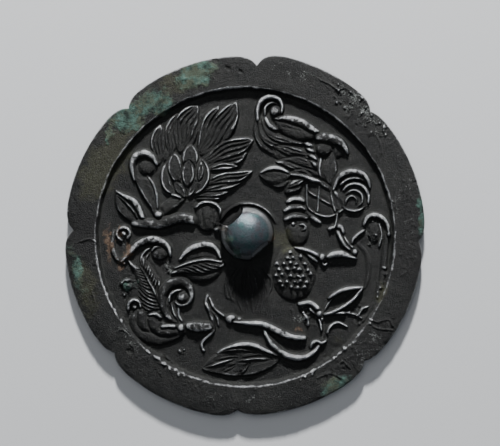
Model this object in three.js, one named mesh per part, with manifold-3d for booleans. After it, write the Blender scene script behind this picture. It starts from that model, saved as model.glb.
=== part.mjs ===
// Ancient bronze mirror with an eight-lobed edge, lying on its polished face.
// The decorated back looks up: a raised flat rim, a sunk round field with flowers, leaves and
// scrolls in relief, and a pierced round knob in the middle for the hanging cord.
//
// The ornament is set out in a drawing: millimetres from the centre of the back, +X to the right
// and +Y up as the mirror is looked at. The whole casting is then turned about +Z, so that the
// cord tunnel runs along the X axis. The origin is the middle of the underside, +Z is up.

import * as THREE from "three";
import { mergeVertices } from "three/addons/utils/BufferGeometryUtils.js";
import Module from "manifold-3d";

const wasm = await Module();
wasm.setup();

// Heights of the plate, from the polished face up
const FIELD_HEIGHT = 2.6;
const RIM_HEIGHT = 4.6;
const FACE_RISE = 0.5;
const EDGE_SOFTENING = 0.6;
const RELIEF_ROOT = 0.5;

// Radii of the plate
const FLAT_SPOT_RADIUS = 46;
const RIM_INNER_RADIUS = 60.2;
const WALL_FOOT_RADIUS = 57.6;

// The notches between the lobes: drawing angle in degrees, and how far out the notch stays
const NOTCHES = [
  { angle: -2.0, radius: 69.8 },
  { angle: 44.7, radius: 70.8 },
  { angle: 86.0, radius: 68.4 },
  { angle: 132.5, radius: 69.2 },
  { angle: 178.2, radius: 69.0 },
  { angle: 222.0, radius: 70.6 },
  { angle: 267.5, radius: 70.2 },
  { angle: 313.5, radius: 69.6 },
];
// How far each lobe reaches, from the lobe that follows the first notch
const LOBE_REACH = [72.5, 73.6, 72.2, 72.4, 72.6, 73.3, 72.4, 71.7];
const LOBE_FULLNESS = 9;
const STEPS_IN_A_LOBE = 9;

// The knob and the tunnel for its cord
const KNOB = { x: 0.8, y: 0.8, radius: 11.6, rise: 11.0, fullness: 0.95 };
const TUNNEL_ANGLE = 130.5;
const TUNNEL = { width: 8.0, height: 7.0, mouthWidth: 12.4, mouthHeight: 8.2, reach: 15 };

// Heights of the relief above the field
const LOW = 1.2;
const MIDDLE = 1.6;
const HIGH = 2.0;

const PATINA = { color: 0x2e2f30, roughness: 0.42, metalness: 0.75 };

const radians = THREE.MathUtils.degToRad;

function solidFrom(geometry) {
  const bare = geometry.index ? geometry.clone() : mergeVertices(geometry);
  bare.deleteAttribute("normal");
  bare.deleteAttribute("uv");
  const closed = mergeVertices(bare, 1e-4);
  const vertProperties = new Float32Array(closed.attributes.position.array);
  const triVerts = withoutSlivers(closed.index.array);
  return new wasm.Manifold(new wasm.Mesh({ numProp: 3, vertProperties, triVerts }));
}

// Triangles that lost an edge when their corners merged are left out.
function withoutSlivers(index) {
  const kept = [];
  for (let i = 0; i < index.length; i += 3) {
    const [a, b, c] = [index[i], index[i + 1], index[i + 2]];
    if (a !== b && b !== c && a !== c) kept.push(a, b, c);
  }
  return Uint32Array.from(kept);
}

// A closed skin over a row of rings that all have the same number of corners.
function loft(rings) {
  const size = rings[0].length;
  const last = (rings.length - 1) * size;
  const index = [];
  for (let start = 0; start < last; start += size) {
    for (let k = 0; k < size; k += 1) {
      const a = start + k;
      const b = start + ((k + 1) % size);
      index.push(a, b, b + size, a, b + size, a + size);
    }
  }
  for (let k = 1; k < size - 1; k += 1) {
    index.push(0, k + 1, k, last, last + k, last + k + 1);
  }
  const geometry = new THREE.BufferGeometry();
  const numbers = rings.flat().flatMap((point) => [point.x, point.y, point.z]);
  geometry.setAttribute("position", new THREE.Float32BufferAttribute(numbers, 3));
  geometry.setIndex(facingOut(numbers, index));
  return geometry;
}

// Turns the triangles round when the skin encloses a negative volume.
function facingOut(numbers, index) {
  const corner = (i) => new THREE.Vector3().fromArray(numbers, 3 * index[i]);
  let volume = 0;
  for (let i = 0; i < index.length; i += 3) {
    volume += corner(i).dot(corner(i + 1).cross(corner(i + 2)));
  }
  return volume < 0 ? index.toReversed() : index;
}

// The plate: lobed outline, sloped wall inside the rim, gently bowed face

function outlineAngles() {
  const angles = [];
  NOTCHES.forEach((notch, i) => {
    const next = NOTCHES[(i + 1) % NOTCHES.length].angle + (i + 1 === NOTCHES.length ? 360 : 0);
    for (let step = 0; step < STEPS_IN_A_LOBE; step += 1) {
      const across = Math.sin((Math.PI / 2) * ((2 * step) / STEPS_IN_A_LOBE - 1));
      angles.push({ lobe: i, across, angle: notch.angle + ((next - notch.angle) * (across + 1)) / 2 });
    }
  });
  return angles;
}

// A lobe keeps its reach over most of its length and falls to the notch at either end.
function outlineRadius({ lobe, across }) {
  const notch = NOTCHES[across < 0 ? lobe : (lobe + 1) % NOTCHES.length];
  const reach = LOBE_REACH[lobe];
  return reach - (reach - notch.radius) * Math.abs(across) ** LOBE_FULLNESS;
}

function plateRing(radiusOf, z) {
  return outlineAngles().map((place) => {
    const radius = radiusOf(place);
    const turn = radians(place.angle);
    return new THREE.Vector3(radius * Math.cos(turn), radius * Math.sin(turn), z);
  });
}

function plate() {
  const edge = (inset) => (place) => outlineRadius(place) - inset;
  const circle = (radius) => () => radius;
  return solidFrom(loft([
    plateRing(circle(FLAT_SPOT_RADIUS), 0),
    plateRing(edge(EDGE_SOFTENING), FACE_RISE),
    plateRing(edge(0), FACE_RISE + EDGE_SOFTENING),
    plateRing(edge(0), RIM_HEIGHT - EDGE_SOFTENING),
    plateRing(edge(EDGE_SOFTENING), RIM_HEIGHT),
    plateRing(circle(RIM_INNER_RADIUS), RIM_HEIGHT),
    plateRing(circle(WALL_FOOT_RADIUS), FIELD_HEIGHT),
  ]));
}

// The knob: a dome with an arched tunnel that widens to its two mouths

function knob() {
  const steps = 6;
  const foot = FIELD_HEIGHT - RELIEF_ROOT;
  const profile = [new THREE.Vector2(0, foot), new THREE.Vector2(KNOB.radius, foot)];
  for (let i = 0; i <= steps; i += 1) {
    const lift = (Math.PI / 2) * (i / steps);
    const radius = i === steps ? 0 : KNOB.radius * Math.cos(lift) ** KNOB.fullness;
    profile.push(new THREE.Vector2(radius, FIELD_HEIGHT + KNOB.rise * Math.sin(lift)));
  }
  const dome = new THREE.LatheGeometry(profile, 24).rotateX(Math.PI / 2);
  return solidFrom(dome).subtract(tunnel()).translate(KNOB.x, KNOB.y, 0);
}

// The tunnel's roof is a round arch; its walls go down past the foot of the knob.
function tunnelRing(along) {
  const flare = (Math.abs(along) / TUNNEL.reach) ** 3;
  const half = THREE.MathUtils.lerp(TUNNEL.width, TUNNEL.mouthWidth, flare) / 2;
  const height = THREE.MathUtils.lerp(TUNNEL.height, TUNNEL.mouthHeight, flare);
  const floor = FIELD_HEIGHT - 2 * RELIEF_ROOT;
  const ring = [new THREE.Vector3(along, half, floor), new THREE.Vector3(along, -half, floor)];
  const steps = 6;
  for (let i = 0; i <= steps; i += 1) {
    const sweep = Math.PI * (i / steps);
    const y = -half * Math.sign(Math.cos(sweep)) * Math.abs(Math.cos(sweep)) ** 0.75;
    ring.push(new THREE.Vector3(along, y, FIELD_HEIGHT + height * (0.35 + 0.65 * Math.sin(sweep))));
  }
  return ring;
}

function tunnel() {
  const stations = [-1, -0.75, -0.4, 0.4, 0.75, 1];
  const skin = loft(stations.map((station) => tunnelRing(station * TUNNEL.reach)));
  return solidFrom(skin.rotateZ(radians(TUNNEL_ANGLE)));
}

// Relief shapes, each a closed solid rooted just below the field

const at = (x, y, z = 0) => new THREE.Vector3(x, y, z);

// Half of a stroke's section, from its edge in to its middle, as shares of its half width and rise
const SECTION = {
  dished: [[1, null], [0.7, 1], [0, 0.62]],
  hollow: [[1, null], [0.72, 1], [0, 0.15]],
  ridged: [[1, null], [0, 1]],
  rolled: [[1, null], [0.62, 0.8], [0, 1]],
};
// The shares of a pointed leaf's width that are left at its base and at its tip
const POINTED = { start: 0.15, end: 0.06 };

// One cross-section: the half section, its middle and the half mirrored.
function reliefRing(middle, side, half, crest, section) {
  const edgeIn = SECTION[section].map(([u, share]) => [-u, share]);
  const middleOut = edgeIn.slice(0, -1).reverse().map(([u, share]) => [-u, share]);
  return [...edgeIn, ...middleOut].map(([u, share]) => {
    const z = share === null ? -RELIEF_ROOT : crest * share;
    return middle.clone().addScaledVector(side, u * half).setZ(FIELD_HEIGHT + z);
  });
}

// A stroke is a raised stem, petal or leaf along a smooth line through its places. Start and end
// are the shares of its width that are left at its two ends.
function stroke(places, width, settings = {}) {
  const { start = 0.8, end = 0.7, widest = 0.5, rise = MIDDLE, section = "rolled" } = settings;
  const { spans = places.length } = settings;
  const line = new THREE.CatmullRomCurve3(places.map(([x, y]) => at(x, y)), false, "centripetal");
  const shape = Math.log(0.5) / Math.log(widest);
  const rings = [];
  for (let i = 0; i <= spans; i += 1) {
    const t = i / spans;
    const ahead = line.getTangent(t);
    const side = at(-ahead.y, ahead.x).normalize();
    const belly = Math.max(Math.sin(Math.PI * t ** shape), 0) ** 0.7;
    const share = belly + (1 - belly) * THREE.MathUtils.lerp(start, end, t);
    rings.push(reliefRing(line.getPoint(t), side, (width / 2) * share, rise * (0.5 + 0.5 * share), section));
  }
  return solidFrom(loft(rings));
}

// A pointed leaf from base to tip, whose middle stands off the straight line by its bow.
function leaf(base, tip, width, { bow = 0, section = "dished", ...others } = {}) {
  const run = at(...tip).sub(at(...base));
  const middle = at(...base).addScaledVector(run, 0.5);
  middle.addScaledVector(at(-run.y, run.x).normalize(), bow);
  return stroke([base, [middle.x, middle.y], tip], width, { ...POINTED, section, spans: 4, ...others });
}

// The places of a curl: its distance from the eye goes evenly from near to far as it sweeps.
function coil(eye, { start, sweep, near, far = near }) {
  const steps = Math.ceil(Math.abs(sweep) / 45);
  return Array.from({ length: steps + 1 }, (unused, i) => {
    const turn = radians(start + (sweep * i) / steps);
    const radius = THREE.MathUtils.lerp(near, far, i / steps);
    return [eye[0] + radius * Math.cos(turn), eye[1] + radius * Math.sin(turn)];
  });
}

// A rounded boss, oval when it has two radii.
function boss(place, radius, { other = radius, turn = 0, rise = HIGH, sides = 8 } = {}) {
  const ball = new THREE.SphereGeometry(1, sides, 4).rotateX(Math.PI / 2);
  ball.scale(radius, other, rise);
  return solidFrom(ball.rotateZ(radians(turn)).translate(place[0], place[1], FIELD_HEIGHT));
}

// Upper left: the great flower, seen from the side above its stem

const PETAL = { section: "dished", start: 0.25, end: 0.06, spans: 4 };

function greatFlower() {
  const petals = [
    { line: [[-34.3, 29.0], [-35.0, 37.5], [-34.0, 44.4]], width: 6.4 },
    { line: [[-29.8, 32.5], [-29.4, 41.0], [-27.0, 48.9]], width: 6.6 },
    { line: [[-26.0, 34.0], [-23.6, 44.8], [-18.9, 52.0]], width: 9.6 },
    { line: [[-18.5, 34.0], [-14.8, 44.0], [-10.4, 51.8]], width: 6.0 },
    { line: [[-17.4, 33.0], [-9.6, 42.6], [-3.5, 53.4]], width: 10.0 },
    { line: [[-15.2, 27.4], [-6.2, 30.2], [0.8, 33.4]], width: 5.6 },
    { line: [[-15.8, 29.4], [-7.0, 34.4], [3.4, 38.4]], width: 7.8 },
    { line: [[-15.2, 26.2], [-9.0, 27.7], [-2.6, 27.8]], width: 3.4 },
    { line: [[-19.0, 16.0], [-12.0, 16.5], [-6.6, 17.5]], width: 2.8 },
    { line: [[-17.6, 17.8], [-10.0, 19.2], [-1.4, 21.2]], width: 3.4 },
    { line: [[-16.2, 20.6], [-7.0, 23.4], [3.0, 25.8]], width: 5.2 },
  ];
  return [
    ...petals.map(({ line, width }) => stroke(line, width, PETAL)),
    ...flowerHeart(),
  ];
}

function flowerHeart() {
  return [
    stroke([[-25.6, 15.6], [-30.4, 11.8], [-34.8, 8.4]], 5.2, { rise: LOW, spans: 3 }),
    boss([-24.0, 23.5], 8.0, { other: 8.6, rise: MIDDLE }),
    leaf([-22.2, 25.0], [-21.8, 36.5], 7.2, { rise: MIDDLE }),
    stroke([[-26.4, 15.8], [-31.6, 22.0], [-29.6, 31.0]], 4.6, { start: 0.3, end: 0.2, rise: MIDDLE }),
    leaf([-26.6, 21.0], [-28.3, 33.0], 6.4, { bow: 0.6, rise: HIGH }),
    leaf([-21.4, 16.6], [-17.2, 30.6], 7.4, { bow: -1.8, rise: HIGH }),
    leaf([-23.0, 19.6], [-22.6, 29.9], 5.8, { rise: HIGH + 0.2 }),
    boss([-25.8, 18.4], 2.8, { other: 2.5 }),
  ];
}

// Left: a hooked leaf, a forked leaf and a stem that ends in a rolled bud

function leftSpray() {
  return [
    stroke([[-52.4, 1.5], [-53.0, -5.0], [-48.4, -11.0]], 2.4, { rise: LOW, section: "ridged" }),
    boss([-48.7, 0.6], 2.8, { rise: MIDDLE }),
    stroke([[-35.4, 8.5], [-38.2, 17.0], [-43.0, 26.0]], 7.0,
      { start: 0.5, end: 0.6, widest: 0.65, section: "dished" }),
    boss([-39.6, 27.0], 4.0, { rise: HIGH }),
    stroke([[-44.4, 22.0], [-44.6, 29.8], [-40.4, 33.1], [-36.4, 31.2], [-35.3, 28.4]], 2.8,
      { start: 0.4, end: 0.5, rise: HIGH, spans: 6 }),
    leaf([-41.4, 5.0], [-51.9, 17.6], 7.4, { bow: 1.0, rise: LOW, section: "rolled" }),
    stroke([[-51.9, 17.9], [-45.6, 14.2], [-40.6, 6.2]], 2.4, { start: 0.1, rise: HIGH, section: "ridged" }),
    stroke([[-44.6, 4.8], [-34.5, 4.7], [-26.4, 6.9], [-19.2, 6.0]], 4.8,
      { start: 0.5, end: 0.8, rise: HIGH, spans: 5 }),
    boss([-34.6, 8.4], 1.9, { rise: HIGH + 0.2 }),
    boss([-15.0, 7.6], 5.2, { other: 6.0 }),
  ];
}

// Left: the feathered frond, its barbs set out along its rib, under a curled hood

const FROND_RIB = [[-25.6, -35.4], [-30.0, -32.4], [-36.6, -22.0], [-42.6, -11.6]];
const BARBS = { count: 5, width: 1.6, outer: { lean: 30, length: 6.2 }, inner: { lean: -30, length: 7.4 } };

function frondBarbs() {
  const rib = new THREE.CatmullRomCurve3(FROND_RIB.map(([x, y]) => at(x, y)), false, "centripetal");
  const barbs = [];
  for (let i = 0; i < BARBS.count; i += 1) {
    const t = 0.22 + (0.7 * i) / (BARBS.count - 1);
    const root = rib.getPoint(t);
    const ahead = rib.getTangent(t);
    for (const { lean, length } of [BARBS.outer, BARBS.inner]) {
      const turn = Math.atan2(ahead.y, ahead.x) + radians(lean);
      const tip = [root.x + length * Math.cos(turn), root.y + length * Math.sin(turn)];
      barbs.push(leaf([root.x, root.y], tip, BARBS.width, { section: "ridged", spans: 2 }));
    }
  }
  return barbs;
}

function frond() {
  return [
    stroke([[-26.0, -35.5], [-37.0, -21.0], [-39.6, -8.0]], 12.6, { start: 0.2, end: 0.5, rise: 0.8 }),
    ...frondBarbs(),
    stroke(FROND_RIB, 2.2, { end: 0.3, rise: HIGH, section: "ridged" }),
    boss([-34.3, -7.3], 3.2),
    stroke([[-49.4, -10.4], [-43.4, -3.2], [-36.6, -0.8], [-30.6, -4.6], [-29.8, -8.0]], 2.4,
      { start: 0.4, end: 0.5, rise: HIGH, spans: 7 }),
  ];
}

// Left of the knob and below it: the striped shell under its double hood

const THIN_RIDGE = { rise: HIGH, section: "ridged", spans: 2 };

function fanBud() {
  const stripes = [0, 1, 2, 3, 4].map((i) => [3.0 * i - 24.4, 0.3 * i - 11.6]);
  const slant = [3.8, -3.0];
  return [
    boss([-17.4, -8.4], 8.0, { other: 6.0, rise: LOW, sides: 10 }),
    stroke([[-26.2, -9.8], [-19.6, -3.6], [-13.0, -3.6], [-9.9, -8.6]], 2.2, { start: 0.4, rise: HIGH }),
    boss([-17.2, -13.6], 7.0, { other: 4.6, turn: 4, rise: MIDDLE, sides: 10 }),
    ...stripes.map(([x, y]) => leaf([x, y], [x + slant[0], y + slant[1]], 1.5, THIN_RIDGE)),
    stroke([[-28.4, -13.2], [-20.4, -10.1], [-9.6, -10.4]], 1.6, THIN_RIDGE),
  ];
}

// Lower left: the scroll, the twig and the rolled leaf

function lowerLeftSpray() {
  return [
    stroke([[-28.0, -35.0], [-33.2, -26.2], [-29.6, -19.3], [-22.5, -19.9], [-22.3, -26.6], [-28.4, -27.2]],
      2.8, { start: 0.6, end: 0.4, rise: HIGH, spans: 9 }),
    boss([-25.0, -24.7], 2.5),
    boss([-44.3, -28.0], 2.4, { rise: MIDDLE }),
    boss([-46.8, -19.6], 2.2, { rise: LOW }),
    stroke([[-15.0, -24.2], [-13.0, -35.0], [-17.4, -43.8]], 2.0, { rise: LOW, section: "ridged" }),
    stroke([[-14.2, -25.0], [-9.4, -31.6], [-5.4, -33.8]], 1.6, { rise: LOW, section: "ridged" }),
    stroke([[-41.6, -30.0], [-41.4, -36.0], [-35.0, -39.8], [-23.8, -37.6]], 5.6,
      { start: 0.5, end: 0.3, spans: 5 }),
    stroke([[-37.0, -31.6], [-37.2, -35.6], [-29.6, -37.6]], 4.8, { start: 0.6, end: 0.3, rise: HIGH }),
    boss([-25.7, -37.2], 1.8),
    stroke([[-33.4, -36.8], [-27.4, -36.8]], 2.2, { rise: HIGH }),
    stroke([[-22.6, -36.6], [-14.6, -37.2]], 4.2, { rise: HIGH }),
  ];
}

// Bottom: the three-lobed leaf, the swinging stems and the low leaf under the knob

function bottomSpray() {
  const lobes = [
    [[9.6, -49.2], [2.0, -52.4], [-9.4, -56.2]],
    [[12.4, -48.2], [-1.0, -50.0], [-16.6, -53.2]],
    [[12.6, -47.8], [2.0, -44.9], [-11.4, -47.3]],
  ];
  return [
    stroke([[1.4, -10.6], [2.4, -20.0], [3.4, -33.4]], 17.0,
      { start: 0.2, end: 0.06, widest: 0.4, rise: 0.7, section: "dished", spans: 5 }),
    ...lobes.map((line) => stroke(line, 5.6, { start: 0.2, end: 0.06, section: "dished" })),
    stroke([[-11.4, -47.2], [-1.0, -42.8], [6.0, -44.2], [14.4, -48.3]], 2.0, { start: 0.2, rise: HIGH }),
    stroke([[7.2, -37.0], [12.8, -45.6], [22.4, -49.0], [28.6, -46.0], [31.0, -41.6]], 2.7,
      { start: 0.4, end: 0.4, rise: HIGH, section: "ridged", spans: 7 }),
    boss([-5.0, -33.8], 2.3, { rise: MIDDLE }),
    stroke([[-4.4, -34.6], [6.4, -35.4], [15.4, -39.3], [23.6, -41.0]], 3.0, { start: 0.6, rise: HIGH }),
    stroke([[26.4, -44.8], [28.6, -42.4], [32.4, -42.4]], 1.6, { section: "ridged", spans: 3 }),
  ];
}

// Right: the seed pod, the hollow almond leaf, the twigs and the crook along the rim

const POD = { place: [19.5, -15.5], radius: 8.8, other: 10.8, rise: 1.8 };
const SEED = { radius: 1.1, rise: 0.6, pitch: 3.7, lift: 2.0 };

// Seeds sit in staggered rows over the pod's dome.
function podSeeds() {
  const seeds = [];
  for (let row = -3; row <= 2; row += 1) {
    for (let column = -3; column <= 3; column += 1) {
      const dx = (column + (row % 2 ? 0.5 : 0)) * SEED.pitch;
      const dy = SEED.lift + row * SEED.pitch * 0.9;
      const out = Math.hypot(dx / POD.radius, dy / POD.other);
      if (out < 0.84) {
        const seed = new THREE.SphereGeometry(1, 5, 2).rotateX(Math.PI / 2);
        seed.scale(SEED.radius, SEED.radius, SEED.rise);
        const z = FIELD_HEIGHT + POD.rise * Math.sqrt(1 - out * out);
        seeds.push(solidFrom(seed.translate(POD.place[0] + dx, POD.place[1] + dy, z)));
      }
    }
  }
  return seeds;
}

function rightSpray() {
  return [
    boss(POD.place, POD.radius, { other: POD.other, rise: POD.rise, sides: 12 }),
    ...podSeeds(),
    stroke([[20.0, -4.8], [25.4, -6.2], [31.0, -9.0]], 2.2, { start: 0.4, rise: HIGH, section: "ridged" }),
    stroke([[32.0, -8.9], [38.6, -6.9], [45.0, -9.5]], 3.4, { start: 0.3, end: 0.06, rise: HIGH }),
    stroke([[34.0, 2.6], [38.6, 3.2], [39.4, -2.4], [44.0, -7.0]], 2.2, { end: 0.9 }),
    stroke([[47.6, 2.0], [43.4, -1.4], [42.8, -3.2]], 1.6, { rise: LOW, section: "ridged", spans: 2 }),
    stroke([[22.0, -27.4], [28.2, -28.4], [30.4, -34.2]], 2.4, { rise: HIGH, section: "ridged" }),
    leaf([31.6, -31.6], [47.6, -20.4], 7.2, { bow: 0.7, rise: HIGH, section: "hollow", spans: 6 }),
    stroke([[33.4, -25.2], [40.2, -21.4], [47.2, -20.8]], 2.0,
      { start: 0.3, end: 0.3, rise: HIGH + 0.2, section: "ridged" }),
    boss([37.4, -39.8], 4.9, { rise: 0.5, sides: 10 }),
    stroke([[33.0, -39.0], [36.4, -35.0], [40.8, -36.4]], 1.4, { rise: LOW, section: "ridged", spans: 4 }),
    stroke([[47.2, -34.6], [53.0, -25.0], [55.8, -11.0], [57.0, 1.4]], 2.8,
      { start: 0.4, section: "ridged" }),
    boss([51.8, 1.6], 2.7, { other: 4.6, rise: LOW }),
    stroke([[57.6, 0.4], [55.6, 6.4], [50.4, 7.8], [47.7, 4.4]], 2.6, { end: 0.5, spans: 6 }),
  ];
}

// Upper right: the crozier and the sheaf that hangs from it, the spindle bud and the hooded ball

const STRAND = { section: "ridged", start: 0.35, end: 0.1, spans: 4 };

function sheaf() {
  const strands = [
    { line: [[4.9, 48.0], [4.8, 40.6], [12.4, 33.0]], width: 3.0, rise: LOW },
    { line: [[5.6, 46.6], [9.0, 38.2], [23.6, 34.5]], width: 3.0, rise: HIGH },
    { line: [[6.8, 47.0], [10.6, 40.4], [24.8, 36.7]], width: 2.8, rise: HIGH },
    { line: [[27.6, 31.2], [19.3, 33.7], [11.0, 35.3]], width: 3.8, rise: HIGH },
    { line: [[29.6, 24.2], [21.4, 27.6], [12.4, 29.4]], width: 3.6, rise: MIDDLE },
    { line: [[29.6, 26.6], [22.8, 29.5], [15.4, 30.4]], width: 2.8, rise: HIGH },
    { line: [[27.4, 22.7], [23.0, 24.9], [17.8, 25.2]], width: 2.6, rise: HIGH },
    { line: [[30.8, 31.0], [30.6, 26.6], [31.2, 22.2]], width: 2.2, rise: HIGH },
  ];
  const ribs = [0, 1, 2, 3].map((i) => [[23.8 + 0.7 * i, 37.0 - 2.3 * i], [27.6 + 0.7 * i, 34.6 - 2.5 * i]]);
  return [
    stroke([[6.5, 46.0], [14.0, 35.6], [29.0, 27.0]], 9.6, { start: 0.3, end: 0.4, rise: 0.9 }),
    ...strands.map(({ line, width, rise }) => stroke(line, width, { ...STRAND, rise })),
    ...ribs.map(([from, to]) => leaf(from, to, 1.7, { rise: HIGH, section: "ridged", spans: 2 })),
  ];
}

function upperRightSpray() {
  return [
    ...sheaf(),
    boss([12.3, 49.9], 2.5),
    stroke([[5.0, 46.4], [6.9, 54.3], [13.4, 54.6], [14.6, 49.2]], 2.4,
      { start: 0.6, end: 0.5, rise: HIGH, spans: 7 }),
    leaf([12.0, 46.7], [30.6, 40.2], 9.2, { bow: -1.0, rise: HIGH, section: "rolled", spans: 6 }),
    stroke([[12.0, 46.7], [21.0, 46.8], [30.0, 40.4]], 2.0, { start: 0.4, rise: HIGH + 0.2 }),
    boss([34.8, 36.0], 5.8, { other: 4.3, turn: -20, rise: LOW }),
    boss([31.8, 35.2], 3.4),
    stroke([[29.6, 40.4], [37.0, 39.4], [41.3, 33.8]], 2.6, { end: 0.3, rise: HIGH }),
    stroke([[34.4, 19.4], [34.2, 26.0], [34.9, 33.4]], 5.4, { start: 0.3, end: 0.06, section: "dished" }),
    leaf([18.4, 24.6], [6.0, 24.6], 8.4, { rise: HIGH, section: "hollow", spans: 6 }),
    boss([11.4, 23.9], 2.6, { other: 1.7, rise: MIDDLE }),
    leaf([23.8, 21.9], [16.6, 18.2], 3.6, { bow: -0.4 }),
    stroke([[18.2, 24.5], [27.0, 22.0], [35.4, 17.6], [40.0, 11.4]], 2.0,
      { start: 0.4, end: 0.5, rise: HIGH, section: "ridged" }),
  ];
}

// Right of the knob: the bell of three tiers, the netted cup and the volute

function bell() {
  const tiers = [
    [[16.0, 6.0], [20.4, 8.2], [24.8, 7.2]],
    [[15.8, 9.7], [20.4, 11.7], [25.0, 10.6]],
    [[16.4, 13.2], [20.4, 14.8], [24.6, 13.4]],
  ];
  return [
    boss([20.4, 7.5], 5.2, { other: 8.6, rise: LOW }),
    boss([21.6, 2.4], 4.3, { other: 4.6, sides: 10 }),
    ...tiers.map((line) => stroke(line, 3.2, { end: 0.6, rise: HIGH })),
  ];
}

function nettedCup() {
  const threads = [
    [[24.8, 19.6], [24.6, 11.6], [28.0, 8.6]],
    [[25.6, 18.4], [39.5, 9.2]],
    [[29.8, 18.4], [28.2, 8.8]],
    [[34.4, 16.4], [36.0, 8.4]],
    [[28.0, 8.6], [33.8, 7.6], [39.0, 10.2]],
  ];
  return [
    boss([31.4, 14.4], 8.2, { other: 5.8, turn: -36, rise: 0.9 }),
    ...threads.map((line) => stroke(line, 1.3, { section: "ridged", spans: line.length - 1 })),
  ];
}

function volute() {
  return [
    stroke(coil([43.6, 14.4], { start: 170, sweep: -560, near: 5.3, far: 1.0 }), 1.6,
      { section: "ridged", spans: 14 }),
    stroke([[39.4, 18.4], [44.6, 20.9], [49.6, 16.2], [47.6, 9.8], [41.0, 9.6]], 1.6,
      { start: 0.6, end: 0.5, section: "ridged", spans: 8 }),
    stroke([[35.2, 18.0], [39.4, 25.2], [47.4, 25.1], [50.2, 19.0]], 2.4,
      { start: 0.3, end: 0.4, rise: HIGH, spans: 7 }),
  ];
}

function mirrorGeometry() {
  const relief = [
    ...greatFlower(), ...leftSpray(), ...frond(), ...fanBud(), ...lowerLeftSpray(), ...bottomSpray(),
    ...rightSpray(), ...upperRightSpray(), ...bell(), ...nettedCup(), ...volute(),
  ];
  const casting = wasm.Manifold.union([plate(), knob(), ...relief]);
  const { vertProperties, triVerts, numProp } = casting.getMesh();
  const positions = [];
  for (let i = 0; i < vertProperties.length; i += numProp) {
    positions.push(vertProperties[i], vertProperties[i + 1], vertProperties[i + 2]);
  }
  const geometry = new THREE.BufferGeometry();
  geometry.setAttribute("position", new THREE.Float32BufferAttribute(positions, 3));
  geometry.setIndex(Array.from(triVerts));
  geometry.computeVertexNormals();
  return geometry;
}

const bronze = new THREE.MeshStandardMaterial(PATINA);
const mirror = new THREE.Mesh(mirrorGeometry(), bronze);
mirror.name = "mirror";
mirror.rotation.z = -radians(TUNNEL_ANGLE);

const group = new THREE.Group();
group.add(mirror);

export default group;
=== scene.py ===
"""The looks of the bronze mirror: a worn casting with plant relief, under a low light from above.

The relief is drawn on a sheet in millimetres, with X to the right and Y up the photograph, from
named forms (strokes, bosses and cut lines). The sheet is pressed into one closed mesh, which is
turned into the frame of the CAD model, where the hole through the knob runs along X.
"""
import logging
from dataclasses import dataclass, field
from enum import Enum
from math import cos, pi, radians, sin
from typing import Iterable, Protocol

import bpy
import numpy as np
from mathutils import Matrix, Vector


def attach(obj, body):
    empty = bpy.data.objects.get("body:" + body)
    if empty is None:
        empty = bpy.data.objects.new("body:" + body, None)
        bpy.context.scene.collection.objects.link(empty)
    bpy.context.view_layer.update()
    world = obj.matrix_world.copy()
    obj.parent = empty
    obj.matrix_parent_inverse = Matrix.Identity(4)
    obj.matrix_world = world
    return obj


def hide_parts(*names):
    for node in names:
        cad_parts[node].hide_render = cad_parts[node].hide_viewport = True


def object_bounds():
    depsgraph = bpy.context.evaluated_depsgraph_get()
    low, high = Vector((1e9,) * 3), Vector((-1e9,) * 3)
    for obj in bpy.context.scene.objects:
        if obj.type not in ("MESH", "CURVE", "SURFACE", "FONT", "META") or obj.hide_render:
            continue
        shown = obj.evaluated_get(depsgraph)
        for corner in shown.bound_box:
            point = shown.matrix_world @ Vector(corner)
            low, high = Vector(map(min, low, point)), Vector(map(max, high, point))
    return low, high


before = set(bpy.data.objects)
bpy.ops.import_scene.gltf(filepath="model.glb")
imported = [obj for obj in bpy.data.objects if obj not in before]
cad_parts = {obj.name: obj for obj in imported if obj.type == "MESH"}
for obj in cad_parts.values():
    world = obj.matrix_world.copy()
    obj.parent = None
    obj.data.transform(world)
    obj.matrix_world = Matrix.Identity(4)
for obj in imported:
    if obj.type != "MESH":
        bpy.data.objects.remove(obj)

log = logging.getLogger("mirror")
CAD_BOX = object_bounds()

Array = np.ndarray
Place = tuple[float, float]
Colour = tuple[float, float, float]

# One millimetre in the scene's metres, and the turn from the drawing to the frame
MM = 0.001
TURN = radians(-130.5)

# Heights of the casting above the middle of the polished face, in millimetres
FIELD_HEIGHT = 2.6
RIM_HEIGHT = 4.6
FACE_RISE = 0.5
FACE_FLAT_RADIUS = 46.0
FACE_CURVE_WIDTH = 24.0

# Circles of the plate, in millimetres
PLATE_MIDDLE = (0.0, -0.6)
RIM_INNER_RADIUS = 60.2
WALL_FOOT_RADIUS = 58.2

# The rim rounds off towards the outline
RIM_FALL = 0.45
RIM_FALL_WIDTH = 5.5

# The waist between two lobes: angle in degrees and distance from the middle in millimetres
NOTCHES = (
    (-2.0, 69.8),
    (44.7, 70.8),
    (86.0, 68.4),
    (132.5, 69.2),
    (178.2, 69.0),
    (222.0, 70.6),
    (267.5, 70.2),
    (313.5, 69.6),
)
LOBE_REACH = (72.5, 73.6, 72.2, 72.4, 72.6, 73.3, 72.4, 71.7)
LOBE_FULLNESS = 9

# The pierced knob
KNOB_PLACE = (0.8, 0.8)
KNOB_RADIUS = 10.8
KNOB_RISE = 10.8
KNOB_FULLNESS = 0.95

# Usual heights of the relief over the field, in millimetres
LOW = 1.2
MIDDLE = 1.6
HIGH = 2.0


def ease(low: float, high: float, value: Array) -> Array:
    """Return 0 below low, 1 above high and a smooth step between them."""
    share = np.clip((value - low) / (high - low), 0.0, 1.0)
    return share * share * (3.0 - 2.0 * share)


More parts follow.
